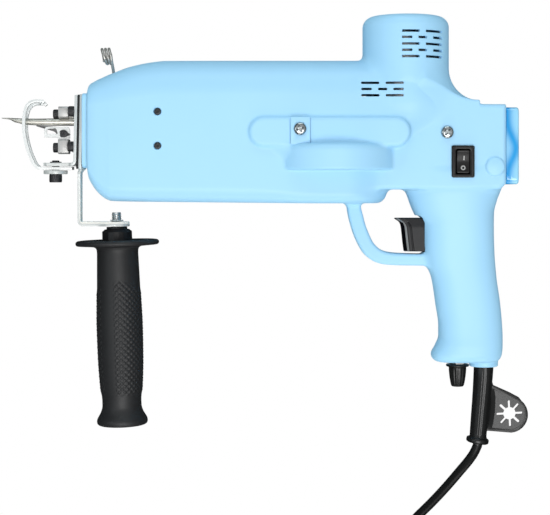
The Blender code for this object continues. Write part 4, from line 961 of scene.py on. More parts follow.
piece("near_half", moulding(1), "body", "body", "shell_near", keep_normals=True)
piece("far_half", moulding(-1), "body", "body", "shell_far", keep_normals=True)

# ================================================================ shapes of the small pieces
def aimed(bm, at, towards, turn=0.0):
    """Moves a shape modelled about +z so that its +z points towards, from at."""
    q = Vector(towards).to_track_quat("Z", "Y").to_matrix().to_4x4()
    bmesh.ops.transform(bm, matrix=Matrix.Translation(Vector(at)) @ q @ Matrix.Rotation(math.radians(turn), 4, "Z"), verts=bm.verts)
    return bm


def cap_screw(r, h, shank, length, socket, flutes=26):
    """Socket cap screw along +z: bearing face at 0, knurled head to h, shank to -length, six-sided socket."""
    profile = [(0.01, -length), (shank - 0.35, -length), (shank, -length + 0.35), (shank, -0.01), (r - 0.14, 0.0), (r, 0.14), (r, 0.13 * h), (r + 0.001, 0.17 * h),
               (r + 0.001, 0.82 * h), (r, 0.86 * h), (r, h - 0.34), (r - 0.1, h - 0.12), (r - 0.34, h), (0.01, h)]
    knurl = lambda t, q: 0.032 * r * math.cos(flutes * t) if 0.15 * h < q < 0.84 * h else 0.0
    bm = lathe("z", (0, 0), profile, flutes * 4, shape=knurl)
    return cut(bm, prism(circle(0, 0, socket, 6), "z", h * 0.42, h + 1))


def pan_screw(r, h, shank, length):
    """Domed head with a tapered cross recess, along +z with its bearing face at 0."""
    profile = [(0.01, -length), (shank * 0.6, -length), (shank, -length + 1.0), (shank, -0.01), (r - 0.2, 0.0), (r, 0.2)]
    profile += [(r * math.cos(a) ** 0.5, 0.45 + (h - 0.45) * math.sin(a)) for a in (math.radians(90 * k / 12) for k in range(12))] + [(0.01, h)]

    def cross(w, arm, z):
        return [(x, y, z) for x, y in ((w, w), (w, arm), (-w, arm), (-w, w), (-arm, w), (-arm, -w), (-w, -w), (-w, -arm), (w, -arm), (w, -w), (arm, -w), (arm, w))]

    return cut(lathe("z", (0, 0), profile, 60), loft([cross(0.45, 1.3, h - 1.8), cross(0.72, 2.75, h + 0.1), cross(0.74, 2.85, h + 1.0)]))


def threaded(r, pitch, lo, hi, n=32, deep=0.5):
    """Bar along +z with a running thread that fades out at both ends."""
    count = int((hi - lo) / (pitch / 7))
    rings = [[(0.01 * math.cos(2 * math.pi * i / n), 0.01 * math.sin(2 * math.pi * i / n), lo) for i in range(n)]]
    for k in range(count + 1):
        h = lo + (hi - lo) * k / count
        fade = max(0.0, min(1.0, (hi - h) / pitch, (h - lo) / pitch))
        ring = []
        for i in range(n):
            t = 2 * math.pi * i / n
            w = abs(2 * ((h / pitch + i / n) % 1) - 1)
            q = r - deep * pitch * (1 - fade) * 0.8 - deep * pitch * fade * w * w * (3 - 2 * w)
            ring.append((q * math.cos(t), q * math.sin(t), h))
        rings.append(ring)
    rings.append([(0.01 * math.cos(2 * math.pi * i / n), 0.01 * math.sin(2 * math.pi * i / n), hi) for i in range(n)])
    return loft(rings)


def nut(across, thick, hole, n=6):
    """Chamfered six-sided nut along +z from 0 to thick."""
    r = across / math.sqrt(3) if n == 6 else across / 2
    bm = prism(circle(0, 0, r, n), "z", 0, thick)
    keep_in = lathe("z", (0, 0), [(0.01, -0.1), (r * 0.86, -0.1), (r * 1.01, thick * 0.2), (r * 1.01, thick * 0.8), (r * 0.86, thick + 0.1), (0.01, thick + 0.1)], 60)
    o = combine(mesh_object("work", bm), keep_in, "INTERSECT")
    return cut(to_bmesh(o), lathe("z", (0, 0), [(hole, -1), (hole, thick + 1)], 40))


def washer(r, hole, thick):
    """Flat washer along +z from 0 to thick, with rounded rims."""
    return cut(turned("z", (0, 0), [(0.01, 0), (r, 0), (r, thick), (0.01, thick)], min(0.35, thick * 0.35), 64), lathe("z", (0, 0), [(hole, -1), (hole, thick + 1)], 48))


BODY, CARRIAGE = "body", "needle_carriage"
LEFT = (-1, 0, 0)

# ---------------------------------------------------------------- rear cover
def cover_step(x, y):
    """How far the flank lies below its full height: a low ramp sweeps from the rear edge at the top to the front edge at the bottom."""
    at = 117.3 - 3.9 * float(step((27.0 - y) / 25.0))
    return 0.78 * (1.0 - float(step((x - at + 2.3) / 4.6)))


rings = []
for x, inset in [(111.2, 0.25), (111.45, 0.0)] + [(111.45 + 0.43 * k, 0.0) for k in range(1, 17)] + [(118.6, 0.12), (118.9, 0.25), (119.2, 0.5), (119.4, 0.85), (119.55, 1.4), (119.6, 2.0)]:
    ring = []
    outline = rounded(-17.6 + inset, 33.1 - inset, -19.5 + inset, 19.5 - inset, max(1.6, 3.6 - inset), 6)
    for (a, b), (c, d) in zip(outline, outline[1:] + outline[:1]):
        n = max(1, int(math.hypot(c - a, d - b) / 1.6))
        for k in range(n):
            u, v = a + (c - a) * k / n, b + (d - b) * k / n
            fall = cover_step(x, u) * max(0.0, min(1.0, (abs(v) - 13.0) / 4.0))
            ring.append((x, u, v - math.copysign(fall, v)))
    rings.append(ring)
cover = loft(rings)
cover = cut(cover, prism(rounded(-15.4, 30.9, -15.6, 15.6, 2.5), "x", 108.0, 117.4))
piece("rear_cover_shell", cover, "cover", BODY, "rear_cover")

# ---------------------------------------------------------------- nose: bracket, gasket, plate and their screws
def lean(bm):
    """The stack of plates at the nose leans back a little towards its top."""
    for v in bm.verts:
        v.co.x += 0.02 * (max(v.co.y, -9.0) - 17.0) * (1 if v.co.x > -177.0 else 0)
    return bm


SCREW_HOLES = [(31.0, -11.1), (31.0, 11.1), (8.0, -11.1), (8.0, 11.1)]


def leg_layer(outer, inner_, deep):
    """One layer of the bent bracket: the outline between two bent lines, trimmed to the leg's width."""
    bm = prism(outer + list(reversed(inner_)), "z", -13.0, 13.0)
    tools = []
    for s in (1, -1):
        tools.append(prism([(a, s * b) for a, b in arcs([(-60.0, deep), (-10.2, deep), (-8.2, 9.0), (-7.2, 13.5), (-7.2, 20.0), (-60.0, 20.0)], [0, 2.5, 1.5, 0, 0, 0], 5)], "x", -180.0, -165.0))
        side = arcs([(-166.5, deep), (-157.5, deep), (-152.5, deep + 2.6), (-146.8, deep + 2.8), (-141.2, deep + 1.0), (-138.4, 3.6), (-137.8, 0.4), (-130.0, 0.4), (-130.0, 20.0), (-166.5, 20.0)],
                    [0, 4, 4, 4, 4, 2.5, 0.4, 0, 0, 0], 6)
        tools.append(prism([(a, s * b) for a, b in side], "y", -50.0, -38.0))
    tools += [prism(rounded(-1.5, 37.5, -8.8, 8.8, 2.0), "x", -175.0, -165.0), lathe("y", (-146.8, 0), [(3.45, -50), (3.45, -38)], 40)]
    tools += [lathe("x", (y, z), [(1.75, -175), (1.75, -165)], 24) for y, z in SCREW_HOLES]
    return cut(bm, *tools)


front_line = arcs([(-170.4, 42.0), (-170.4, -7.2), (-171.9, -9.8), (-171.9, -45.7), (-137.8, -45.7)], [0, 1.5, 1.5, 3.6, 0], 8, loop=False)
mid_line = arcs([(-169.1, 42.0), (-169.1, -7.2), (-170.5, -9.8), (-170.5, -44.0), (-137.8, -44.0)], [0, 1.5, 1.5, 2.0, 0], 8, loop=False)
back_line = arcs([(-168.6, 42.0), (-168.6, -7.2), (-170.05, -9.8), (-170.05, -42.6), (-137.8, -42.6)], [0, 1.5, 1.5, 0.8, 0], 8, loop=False)
front_half = soften(lean(leg_layer(front_line, mid_line, 6.1)), 0.3, 3, 30)
back_half = soften(lean(leg_layer(mid_line, back_line, 5.9)), 0.14, 2, 30)
piece("handle_bracket_leg", front_half, "zinc", BODY, "handle_bracket")
piece("handle_bracket_back", back_half, "dull_zinc", BODY, ())

gasket = prism(rounded(-7.4, 41.8, -12.9, 12.9, 2), "x", -172.0, -170.45)
gasket = cut(gasket, prism(rounded(-1.5, 37.5, -8.8, 8.8, 2.0), "x", -175.0, -165.0), *[lathe("x", (y, z), [(1.75, -176), (1.75, -165)], 20) for y, z in SCREW_HOLES])
piece("front_gasket_sheet", soften(lean(gasket), 0.12, 1, 30), "gasket", BODY, "front_gasket")
seal = cut(prism(rounded(-6.2, 41.4, -12.6, 12.6, 3), "x", -168.55, -167.95), prism(rounded(-1.5, 37.5, -8.8, 8.8, 2.0), "x", -175.0, -160.0), *[lathe("x", (y, z), [(1.75, -176), (1.75, -160)], 20) for y, z in SCREW_HOLES])
piece("bracket_seal", soften(lean(seal), 0.1, 1, 30), "gasket", BODY, ())

plate = prism(arcs([(-173.9, 41.5), (-173.9, -3.3), (-195.2, -3.3), (-195.2, -5.4), (-172.05, -5.4), (-172.05, 41.5)], [0.2, 1.4, 0.3, 0.3, 3.4, 0.2], 8), "z", -13.0, 13.0)
tools = [prism(rounded(-1.5, 37.5, -8.8, 8.8, 2.0), "x", -176.0, -168.0), lathe("y", (-187.8, 0), [(2.85, -8), (2.85, 0)], 32)]
tools += [lathe("x", (y, z), [(1.75, -179), (1.75, -165)], 20) for y, z in SCREW_HOLES]
for s in (1, -1):
    tools.append(prism([(a, s * b) for a, b in arcs([(-200.0, 6.4), (-194.6, 6.4), (-192.8, 8.0), (-178.0, 8.0), (-175.6, 10.0), (-175.6, 20.0), (-200.0, 20.0)], [0, 1, 1.5, 1.5, 1.0, 0, 0], 5)], "y", -8.0, 0.5))
piece("front_plate_bent", soften(lean(cut(plate, *tools)), 0.34, 3, 30), "zinc", BODY, "front_plate")

for i, (y, z) in enumerate(((31.0, 11.1), (31.0, -11.1), (8.0, 11.1), (8.0, -11.1))):
    piece(f"plate_cap_screw_{i + 1}", aimed(cap_screw(3.3, 4.0, 1.4, 6.7, 1.55), (-174.0 + 0.02 * (y - 17), y - (0.25 if y > 20 else 0.6), z), LEFT, 11 * i), "screw", BODY, f"plate_screw_{i + 1}")

# ---------------------------------------------------------------- side handle, along its leaning axis
H_AT = (-146.8, -46.3, 0)
H_DOWN = (math.sin(math.radians(1.65)), -math.cos(math.radians(1.65)), 0)

core = turned("z", (0, 0), [(0.01, -0.3), (6.9, -0.3), (6.9, 1.2), (8.5, 1.5), (8.7, 2.1), (9.6, 2.4), (9.95, 3.2), (9.95, 9.2), (8.2, 9.4), (8.2, 13.8), (0.01, 13.8)], 0.25, 144,
              shape=lambda t, h: 0.24 * (0.5 + 0.5 * math.cos(18 * t)) ** 3 - 0.12 if 3.4 < h < 9.0 else 0.0)
core = cut(core, lathe("z", (0, 0), [(3.5, -2), (3.5, 11.6)], 36))
piece("handle_core", aimed(core, H_AT, H_DOWN), "black", BODY, "side_handle_core")

stem = table([12.8, 13.2, 13.9, 15.2, 17.0, 19.4, 28.0, 47.0, 66.0, 86.0, 107.0, 116.0, 119.5, 123.5, 126.2, 128.2, 129.4], [17.2, 15.5, 14.5, 13.95, 13.8, 13.85, 14.1, 14.6, 15.1, 14.9, 13.9, 13.05, 13.1, 14.2, 15.7, 16.75, 16.95])
DOT = 3.9
COLS = 24
fine_h = [12.95, 13.2, 13.5, 13.9, 14.4] + list(np.arange(15.0, 36.0, 0.8)) + list(np.arange(36.0, 114.0, 0.42)) + list(np.arange(114.0, 129.5, 0.8))
n_ = 240
ang = np.arange(n_) * 2 * math.pi / n_


def dots(h):
    """Height of the raised dots round the grip at distance h: two staggered rows, smooth stripes between them."""
    u = ang / (2 * math.pi) * COLS
    out = np.zeros(n_)
    for off in (0.0, 0.5):
        du, dv = u + off - np.round(u + off), h / DOT + off - np.round(h / DOT + off)
        q = np.clip(1 - (du * du + dv * dv) / 0.31 ** 2, 0, 1)
        out = np.maximum(out, 0.46 * np.sqrt(q))
    # the axis runs down, so the stripe faces lie at the near and the far side
    face = np.degrees(np.abs((ang - STRIPE + math.pi / 2) % math.pi - math.pi / 2))
    edge = np.clip((face - 19.0) / 4.0, 0, 1)
    ends = np.clip((h - 38.0 - 3.0 * np.cos(2 * ang)) / 3.0, 0, 1) * np.clip((112.0 - h) / 3.0, 0, 1)
    return out * edge * ends


# the angle in the handle's own frame whose direction in the tool's axes leans 28 degrees from +z towards -x
q_ = Vector(H_DOWN).to_track_quat("Z", "Y").to_matrix()
want = Vector((-math.sin(math.radians(28)), 0, math.cos(math.radians(28))))
loc = q_.inverted() @ want
STRIPE = math.atan2(loc.y, loc.x)
cs, sn = np.cos(ang), np.sin(ang)
rows_ = [(10.4, 8.75), (10.7, 8.77), (14.0, 8.7), (20.0, 8.6), (25.0, 8.55), (26.4, 8.7), (27.3, 9.15), (27.8, 9.8), (27.9, 10.6), (27.75, 11.3), (27.3, 11.85), (26.5, 12.15), (24.0, 12.35), (20.0, 12.6)]
rings = [[(r * c, r * s, h) for c, s in zip(cs, sn)] for r, h in rows_]
for h in fine_h:
    r = float(stem(h)) + dots(h)
    rings.append(list(zip(r * cs, r * sn, np.full(n_, h))))
for r, h in ((16.95, 129.6), (16.9, 130.4), (16.55, 131.2), (15.9, 131.8), (14.9, 132.15), (13.6, 132.3), (9.0, 132.1), (0.01, 131.9)):
    rings.append([(r * c, r * s, h) for c, s in zip(cs, sn)])
grip = cut(loft(rings), lathe("z", (0, 0), [(10.25, 5.0), (10.25, 9.7), (8.45, 9.71), (8.45, 14.3)], 60))
piece("handle_grip_rubber", aimed(grip, H_AT, H_DOWN), "rubber", BODY, "side_handle_grip", angle=50)
piece("handle_stud_threaded", aimed(threaded(3.25, 1.25, -9.9, 10.0, 36, 0.42), H_AT, H_DOWN), "steel", BODY, "handle_stud", angle=60)
piece("handle_lock_ring", aimed(washer(4.4, 3.5, 0.8), (-146.8, -42.2, 0), (0, 1, 0)), "zinc", BODY, "handle_nut")

# ---------------------------------------------------------------- presser foot and its clamp
FOOT = [(-176.2, -6.9), (-196.6, -6.9), (-199.6, -6.0), (-201.4, -4.2), (-203.2, -0.6), (-205.0, 3.8), (-206.7, 9.4), (-208.0, 16.0), (-208.4, 22.0),
        (-207.9, 28.6), (-206.6, 33.2), (-204.4, 36.0), (-201.4, 37.2), (-196.6, 37.2), (-195.2, 36.9), (-194.7, 36.0)]


def ribbon(path, t):
    left, right = [], []
    for i, p in enumerate(path):
        a, b = path[max(i - 1, 0)], path[min(i + 1, len(path) - 1)]
        dx, dy = b[0] - a[0], b[1] - a[1]
        d = math.hypot(dx, dy)
        left.append((p[0] - dy / d * t / 2, p[1] + dx / d * t / 2))
        right.append((p[0] + dy / d * t / 2, p[1] - dx / d * t / 2))
    return left + list(reversed(right))


foot_line = [(p[0], p[1]) for p in smooth_path([(a, b, 0) for a, b in FOOT], 1.5, 12)]
foot = prism(ribbon(foot_line, 2.0), "z", -6.2, 6.2)
foot = cut(foot, prism(arcs([(-197.6, -4.0), (-197.6, 4.0), (-230.0, 4.0), (-230.0, -4.0)], [3.6, 3.6, 0, 0], 8), "y", -12.0, 45.0), box(-198, -190, 10, 45, -4.0, 4.0),
           prism(rounded(-193.8, -180.8, -2.9, 2.9, 2.85, 8), "y", -12, 0))
foot = soften(foot, 0.38, 3, 35)
for v in foot.verts:      # the two tines are set a little apart
    k = min(1.0, max(0.0, (v.co.y - 2.0) / 30.0))
    v.co.y += 0.11 * v.co.z * k
piece("presser_foot_tines", foot, "foot", "foot", "presser_foot", angle=45)
piece("foot_clamp_washer", aimed(washer(8.0, 2.9, 2.5), (-187.8, -8.3, 0), (0, -1, 0)), "zinc", BODY, "foot_washer")
piece("foot_cap_screw", aimed(cap_screw(4.15, 5.5, 2.45, 9.2, 1.9, 28), (-187.8, -10.85, 0), (0, -1, 0)), "screw", BODY, "foot_screw")
piece("foot_hex_nut", aimed(nut(6.8, 0.7, 2.75), (-187.8, -3.2, 0), (0, 1, 0)), "screw", BODY, "foot_nut")

# ---------------------------------------------------------------- needle carriage
piece("needle_bar_round", cut(turned("x", (30.0, 0), [(0.01, -183.9), (3.7, -183.9), (3.7, -104.4), (0.01, -104.4)], 0.3, 48), box(-190, -164, 18, 26.85, -8, 8)), "steel", CARRIAGE, "needle_bar")
piece("scissor_bar_round", turned("x", (7.5, 0), [(0.01, -178.3), (3.0, -178.3), (3.0, -104.4), (0.01, -104.4)], 0.3, 40), "steel", CARRIAGE, "scissor_bar")
cross_ = prism(arcs([(-104.0, 3.2), (-98.0, 3.2), (-98.0, 13.0), (-63.5, 13.0), (-63.5, 17.6), (-96.0, 17.6), (-98.0, 19.6), (-98.0, 34.3), (-104.0, 34.3)], [1, 1, 2, 1.5, 1.5, 1, 1, 1, 1], 4), "z", -6.0, 6.0)
piece("crosshead_cast", soften(cut(cross_, lathe("y", (-69.9, 0), [(3.3, 5), (3.3, 25)], 32)), 0.4, 2, 30), "alu", CARRIAGE, "crosshead")
piece("wrist_pin_turned", turned("y", (-69.9, 0), [(0.01, 11.8), (3.0, 11.8), (3.0, 18.0), (4.2, 18.0), (4.2, 19.4), (0.01, 19.4)], 0.3, 40), "steel", CARRIAGE, "wrist_pin")


def clamp_block(x0, x1, y0, y1, bore_y, bore, bore_from, split):
    """Small clamp with a bore from the rear, a screw hole through its front and a saw slot."""
    bm = prism(rounded(y0, y1, -5.0, 5.0, 1.3, 5), "x", x0, x1)
    return soften(cut(bm, turned("x", (bore_y, 0), [(0.01, bore_from), (bore, bore_from), (bore, x1 + 5), (0.01, x1 + 5)], 0, 36), lathe("x", (bore_y, 0), [(1.9, x0 - 3), (1.9, x1)], 28),
                      box(x0 - 1, x1 + 1, split - 0.28, split + 0.28, -8, -3.9)), 0.26, 2, 30)


piece("needle_clamp", clamp_block(-185.4, -179.0, 26.85, 34.3, 30.0, 3.72, -184.2, 32.2), "block", CARRIAGE, "needle_block")
piece("needle_clamp_screw", aimed(cap_screw(2.95, 3.75, 1.6, 1.6, 1.3, 22), (-185.6, 29.5, 0), LEFT), "screw", CARRIAGE, "needle_block_screw")
block2 = prism(rounded(2.7, 12.5, -5.0, 5.0, 1.3, 5), "x", -185.6, -178.6)
piece("scissor_clamp", soften(cut(block2, box(-188, -176, 10.9, 11.35, -8, -3.9)), 0.28, 2, 30), "block", CARRIAGE, "scissor_block")
piece("scissor_clamp_screw", aimed(cap_screw(3.2, 3.5, 1.4, 0.2, 1.45, 22), (-185.8, 6.9, 0), LEFT, 20), "screw", CARRIAGE, "scissor_block_screw")


def ring_x(x, y, ry, rz, n=40):
    return [(x, y + ry * math.cos(2 * math.pi * i / n), rz * math.sin(2 * math.pi * i / n)) for i in range(n)]


needle = loft([ring_x(-224.0, 26.72, 0.12, 0.2), ring_x(-223.7, 26.70, 0.24, 0.32), ring_x(-221.5, 26.55, 0.38, 0.55), ring_x(-218.4, 26.3, 0.62, 0.95), ring_x(-216.6, 25.75, 1.05, 1.35),
               ring_x(-214.6, 25.1, 1.6, 1.75), ring_x(-212.0, 24.65, 1.9, 1.95), ring_x(-208.0, 24.35, 2.1, 2.1), ring_x(-200.0, 24.1, 2.3, 2.3), ring_x(-192.0, 24.05, 2.45, 2.45),
               ring_x(-180.0, 24.1, 2.55, 2.55), ring_x(-165.2, 24.1, 2.55, 2.55), ring_x(-165.0, 24.1, 2.35, 2.35)])
bore = tube(smooth_path([(-186.0, 23.7, 0), (-196.0, 23.8, 0), (-205.0, 24.0, 0), (-210.0, 23.8, 0), (-214.5, 22.9, 0), (-218.0, 21.3, 0), (-221.0, 19.6, 0)], 0.9), 1.25, 20)
piece("hollow_needle", cut(needle, bore), "needle", CARRIAGE, "needle", angle=42)

blade = prism(arcs([(-195.2, 13.7), (-195.3, 19.0), (-194.2, 20.8), (-179.0, 20.8), (-178.0, 18.6), (-178.0, 12.9), (-185.4, 12.9), (-187.4, 13.7)], [0.5, 1.2, 1.2, 1.2, 1.0, 0.5, 1.0, 1.0], 4), "z", 0.4, 1.6)
blade = cut(blade, prism(arcs([(-193.6, 16.1), (-193.4, 19.4), (-187.2, 19.9), (-186.2, 16.1)], [0.5, 1.4, 1.4, 0.5], 4), "z", -1, 3), lathe("z", (-182.0, 16.2), [(1.65, -3), (1.65, 6)], 28))
piece("fixed_blade_loop", soften(blade, 0.14, 1, 30), "blade", CARRIAGE, "fixed_blade")
blade = prism(arcs([(-201.0, 21.9), (-186.0, 20.9), (-178.6, 20.0), (-178.6, 13.6), (-185.0, 13.2), (-188.5, 17.6), (-200.6, 21.2)], [0.2, 3, 1, 1, 2, 3, 0.2], 5), "z", -1.6, -0.4)
piece("moving_blade_ground", soften(cut(blade, lathe("z", (-182.0, 16.2), [(1.65, -6), (1.65, 3)], 28)), 0.14, 1, 30), "dark_blade", "scissor_blade", "moving_blade")
pivot = turned("z", (-182.0, 16.2), [(0.01, -3.0), (1.25, -3.0), (1.25, 1.95), (2.5, 1.96), (2.5, 3.4), (0.01, 3.4)], 0.25, 40)
pivot = cut(pivot, prism(circle(-182.0, 16.2, 1.15, 6), "z", 2.6, 5))
piece("blade_pivot_cap", pivot, "screw", CARRIAGE, "blade_pivot_screw")
tongue = prism(arcs([(-184.9, 18.3), (-182.6, 18.8), (-177.4, 15.6), (-178.6, 14.9), (-184.6, 13.6)], [1.2, 1.2, 0.3, 0.3, 1.0], 4), "z", 1.68, 1.93)
piece("blade_tension_leaf", cut(tongue, lathe("z", (-182.0, 16.2), [(1.5, 0), (1.5, 4)], 24)), "screw", CARRIAGE, ())

guide = prism(rounded(0.5, 37.0, -22.0, 22.0, 2, 4), "x", -124.0, -111.0)
guide = cut(guide, *[lathe("x", (y, 0), [(r, -130), (r, -105)], 40) for y, r in ((30.0, 4.0), (7.5, 3.3))])
piece("guide_block_cast", soften(guide, 0.4, 2, 30), "alu", BODY, "guide_block")
for i, y in enumerate((30.0 - 0.2, 7.5)):
    gs = cut(turned("z", (-117.5, y), [(0.01, 22.4), (2.2, 22.4), (2.2, 26.5), (0.01, 26.5)], 0.3, 40), prism(circle(-117.5, y, 1.15, 6, 0.3), "z", 24.6, 28))
    piece(f"guide_socket_screw_{i + 1}", gs, "screw", BODY, f"guide_screw_{i + 1}")

# ---------------------------------------------------------------- yarn guide spring
up_ = Vector((-math.sin(math.radians(14)), math.cos(math.radians(14)), 0))
turns = [Vector((-148.7, 50.8, 0)), Vector((-148.8, 54.0, 0)), Vector((-149.0, 57.6, 0.4)), Vector((-149.5, 61.5, 2.1)), Vector((-150.0, 65.0, 4.0))]
steps = 30
for i in range(int(2.62 * steps) + 1):
    t = 2 * math.pi * i / steps
    turns.append(Vector((-150.3, 68.2, 0)) + Vector((-2.35, -0.12, 0)) * (i / steps) + Vector((0, 0, 1)) * 5.0 * math.cos(t) + up_ * 5.0 * math.sin(t))
piece("yarn_guide_spring", tube(smooth_path([tuple(p) for p in turns], 0.55, 8), 1.0, 14), "wire", BODY, "yarn_spring", angle=60)

# ---------------------------------------------------------------- strap and the two cross-head screws
strap = prism(rounded(-30.8, -18.1, 8.1, 26.0, 0.6, 4), "z", 31.25, 32.5)
strap = soften(cut(strap, lathe("z", (-24.6, 18.2), [(1.9, 30), (1.9, 36)], 30)), 0.3, 2, 30)
piece("strap_band", strap, "body", BODY, "strap")
piece("strap_pan_screw", aimed(pan_screw(4.2, 2.3, 1.6, 8.0), (-24.6, 18.2, 32.9), (0, 0, 1), 20), "chrome", BODY, "strap_screw", angle=50)
piece("flank_pan_screw", aimed(pan_screw(4.2, 2.3, 1.6, 6.0), (71.9, 16.4, 23.6), (0, 0, 1), 52), "chrome", BODY, "flank_screw", angle=50)

# ---------------------------------------------------------------- trigger
T_FRONT = table([-63.4, -61.8, -59.0, -55.0, -50.0, -46.0, -43.6, -42.2, -41.0, -40.4, -39.9], [45.6, 45.2, 44.8, 44.3, 43.8, 43.3, 42.6, 41.4, 39.6, 38.9, 39.0])
rings = []
for y in np.concatenate([[-62.4, -62.3, -62.0], np.linspace(-61.5, -44.0, 30), np.linspace(-43.6, -40.5, 12), [-40.25, -40.1, -40.02]]):
    f = float(T_FRONT(y))
    top = float(np.clip((y + 46.0) / 6.0, 0, 1))
    half = 6.2 - 0.5 * top
    inset = max(0.0, 0.35 - min(y + 62.4, -40.02 - y) * 1.2)
    nose = 5.6 - 1.6 * top
    pts = []
    for k in range(13):      # rounded pad at the front, from its side to the middle
        a = math.radians(90 * k / 12)
        pts.append((f + inset + nose * (1 - math.sin(a)), (half - 0.25 - inset) * math.cos(a) ** 0.8 if k < 12 else 0.0))
    side_pts = [(65.0, half - inset), (58.0, half - inset), (f + nose + 1.9, half - inset), (f + nose + 1.25, half - inset), (f + nose + 0.95, half - 0.42 - inset), (f + nose + 0.35, half - 0.42 - inset)]
    near = side_pts + pts
    far = [(x, -z) for x, z in reversed(near[:-1])]
    rings.append([(x, y, z) for x, z in near + far])
trig = loft(rings)
lever = piece("trigger_lever", trig, "black", "trigger", "trigger", angle=34)
lever.data.materials.append(M["dark"])
lever.data.materials.append(M["glint"])
# faces turned to the front take the painted-shade black and the rounded band towards the side the painted highlight,
# chosen by the way each face points
for face in lever.data.polygons:
    if face.normal.x < -0.86:
        face.material_index = 1
    elif face.normal.x < -0.34 and face.normal.z > 0.3:
        face.material_index = 2 if face.normal.x > -0.58 else 1

switch_ = prism(rounded(70.6, 99.5, -73.0, -38.0, 2, 4), "z", -9.5, 9.5)
switch_ = cut(switch_, box(69.0, 72.2, -66.0, -44.0, -7.2, 7.2), *[box(76.0 + 5.2 * k, 78.4 + 5.2 * k, -74.0, -70.5, -6.0, 6.0) for k in range(4)], box(69, 101, -56.2, -55.6, 9.0, 11), box(69, 101, -56.2, -55.6, -11, -9.0))
piece("trigger_switch_case", soften(switch_, 0.4, 2, 30), "black", BODY, "trigger_switch")
lugs = joined([soften(fuse(box(77.0 + 5.2 * k, 77.6 + 5.2 * k, -79.0, -70.6, -2.4, 2.4), box(76.6 + 5.2 * k, 78.0 + 5.2 * k, -71.6, -70.6, -3.0, 3.0)), 0.12, 1) for k in range(4)])
piece("trigger_switch_lugs", lugs, "brass", BODY, ())
board = cut(box(72.0, 102.0, -108.0, -80.5, -0.8, 0.8), *[lathe("z", (x, y), [(1.4, -2), (1.4, 2)], 24) for x, y in ((75.0, -105.0), (99.0, -105.0), (75.0, -83.5), (99.0, -83.5))])
piece("control_board_sheet", soften(board, 0.1, 1, 30), "board", BODY, "control_board")
chips = joined([soften(box(a, a + w, b, b + d, 0.85, 0.85 + h), 0.2, 2) for a, w, b, d, h in ((79.0, 6.0, -103.0, 5.0, 1.6), (88.0, 8.0, -104.0, 10.0, 4.0), (77.5, 4.0, -93.0, 3.0, 1.2), (88.5, 3.0, -90.5, 6.0, 2.2), (93.5, 3.0, -90.5, 6.0, 2.2))]
               + [turned("z", (82.0, -88.5), [(0.01, 0.85), (2.9, 0.85), (2.9, 8.2), (0.01, 8.2)], 0.4, 40)])
piece("control_board_parts", chips, "switch", BODY, ())
pot = turned("y", (81.4, 0), [(0.01, -140.5), (2.9, -140.5), (3.4, -140.2), (3.4, -128.4), (8.4, -128.4), (8.4, -117.0), (0.01, -117.0)], 0.3, 48)
piece("speed_pot_case", pot, "alu", BODY, "speed_pot")
piece("speed_pot_nut", aimed(nut(10.0, 1.55, 3.45), (81.4, -137.72, 0), (0, 1, 0), 12), "steel", BODY, ())

ribs = 14
ridge = lambda t, h: (0.34 * (0.5 + 0.5 * math.cos(ribs * t)) ** 0.7 - 0.20) * min(1.0, max(0.0, (-140.2 - h) / 1.0)) * min(1.0, max(0.0, (h + 152.9) / 1.2)) if h < -140.1 else 0.0
prof = [(0.01, -152.9), (2.9, -152.95), (3.7, -152.8), (4.15, -152.2), (4.5, -150.8), (4.95, -148.4), (5.3, -146.0), (5.55, -143.6), (5.72, -141.8), (5.8, -140.6), (5.85, -139.9), (6.3, -139.55), (7.3, -139.45),
        (7.6, -139.2), (7.7, -138.7), (7.6, -138.2), (7.3, -137.95), (0.01, -137.9)]
knob_ = lathe("y", (81.4, 0), prof, ribs * 12, shape=ridge)
knob_ = cut(knob_, lathe("y", (81.4, 0), [(3.9, -145.0), (3.9, -130.0)], 36), box(81.15, 81.65, -152.2, -141.0, 5.05, 9.0))
piece("speed_knob_ribbed", knob_, "boot", "speed_knob", "speed_knob", angle=50)

# ---------------------------------------------------------------- rocker switch
RX, RY = 82.1, -2.8
frame_ = loft([[(x, y, z) for x, y in rounded(RX - 7.5 + i, RX + 7.5 - i, RY - 10.5 + i, RY + 10.5 - i, 1.2, 5)] for z, i in ((23.45, 0.0), (24.7, 0.0), (25.05, 0.12), (25.25, 0.42), (25.3, 0.8))])
frame_ = fuse(frame_, box(RX - 6.4, RX + 6.6, RY - 9.4, RY + 9.4, 6.0, 24.0))
inner = [(RX - 5.4, RY - 8.4), (RX + 5.4, RY - 8.4), (RX + 5.4, RY + 8.4), (RX - 5.4, RY + 8.4)]
inner2 = [(RX - 4.75, RY - 8.35), (RX + 4.75, RY - 8.35), (RX + 4.75, RY + 8.35), (RX - 4.75, RY + 8.35)]
frame_ = cut(frame_, prism(arcs(inner2, [0.6, 0.6, 1.2, 1.2], 5), "z", 16.0, 30.0), loft([[(x, y, 24.35) for x, y in arcs(inner, [0.9, 0.9, 2.4, 2.4], 5)], [(x, y, 30) for x, y in arcs([(a * 1.0, b) for a, b in inner], [0.9, 0.9, 2.4, 2.4], 5)]]))
piece("rocker_frame", soften(frame_, 0.15, 2, 50), "switch", BODY, "rocker_housing")
rings = []
line = table([RY - 7.4, RY - 5.6, RY - 3.0, RY, RY + 3.0, RY + 5.4, RY + 7.2], [25.75, 25.3, 24.9, 24.7, 25.1, 25.8, 26.5])
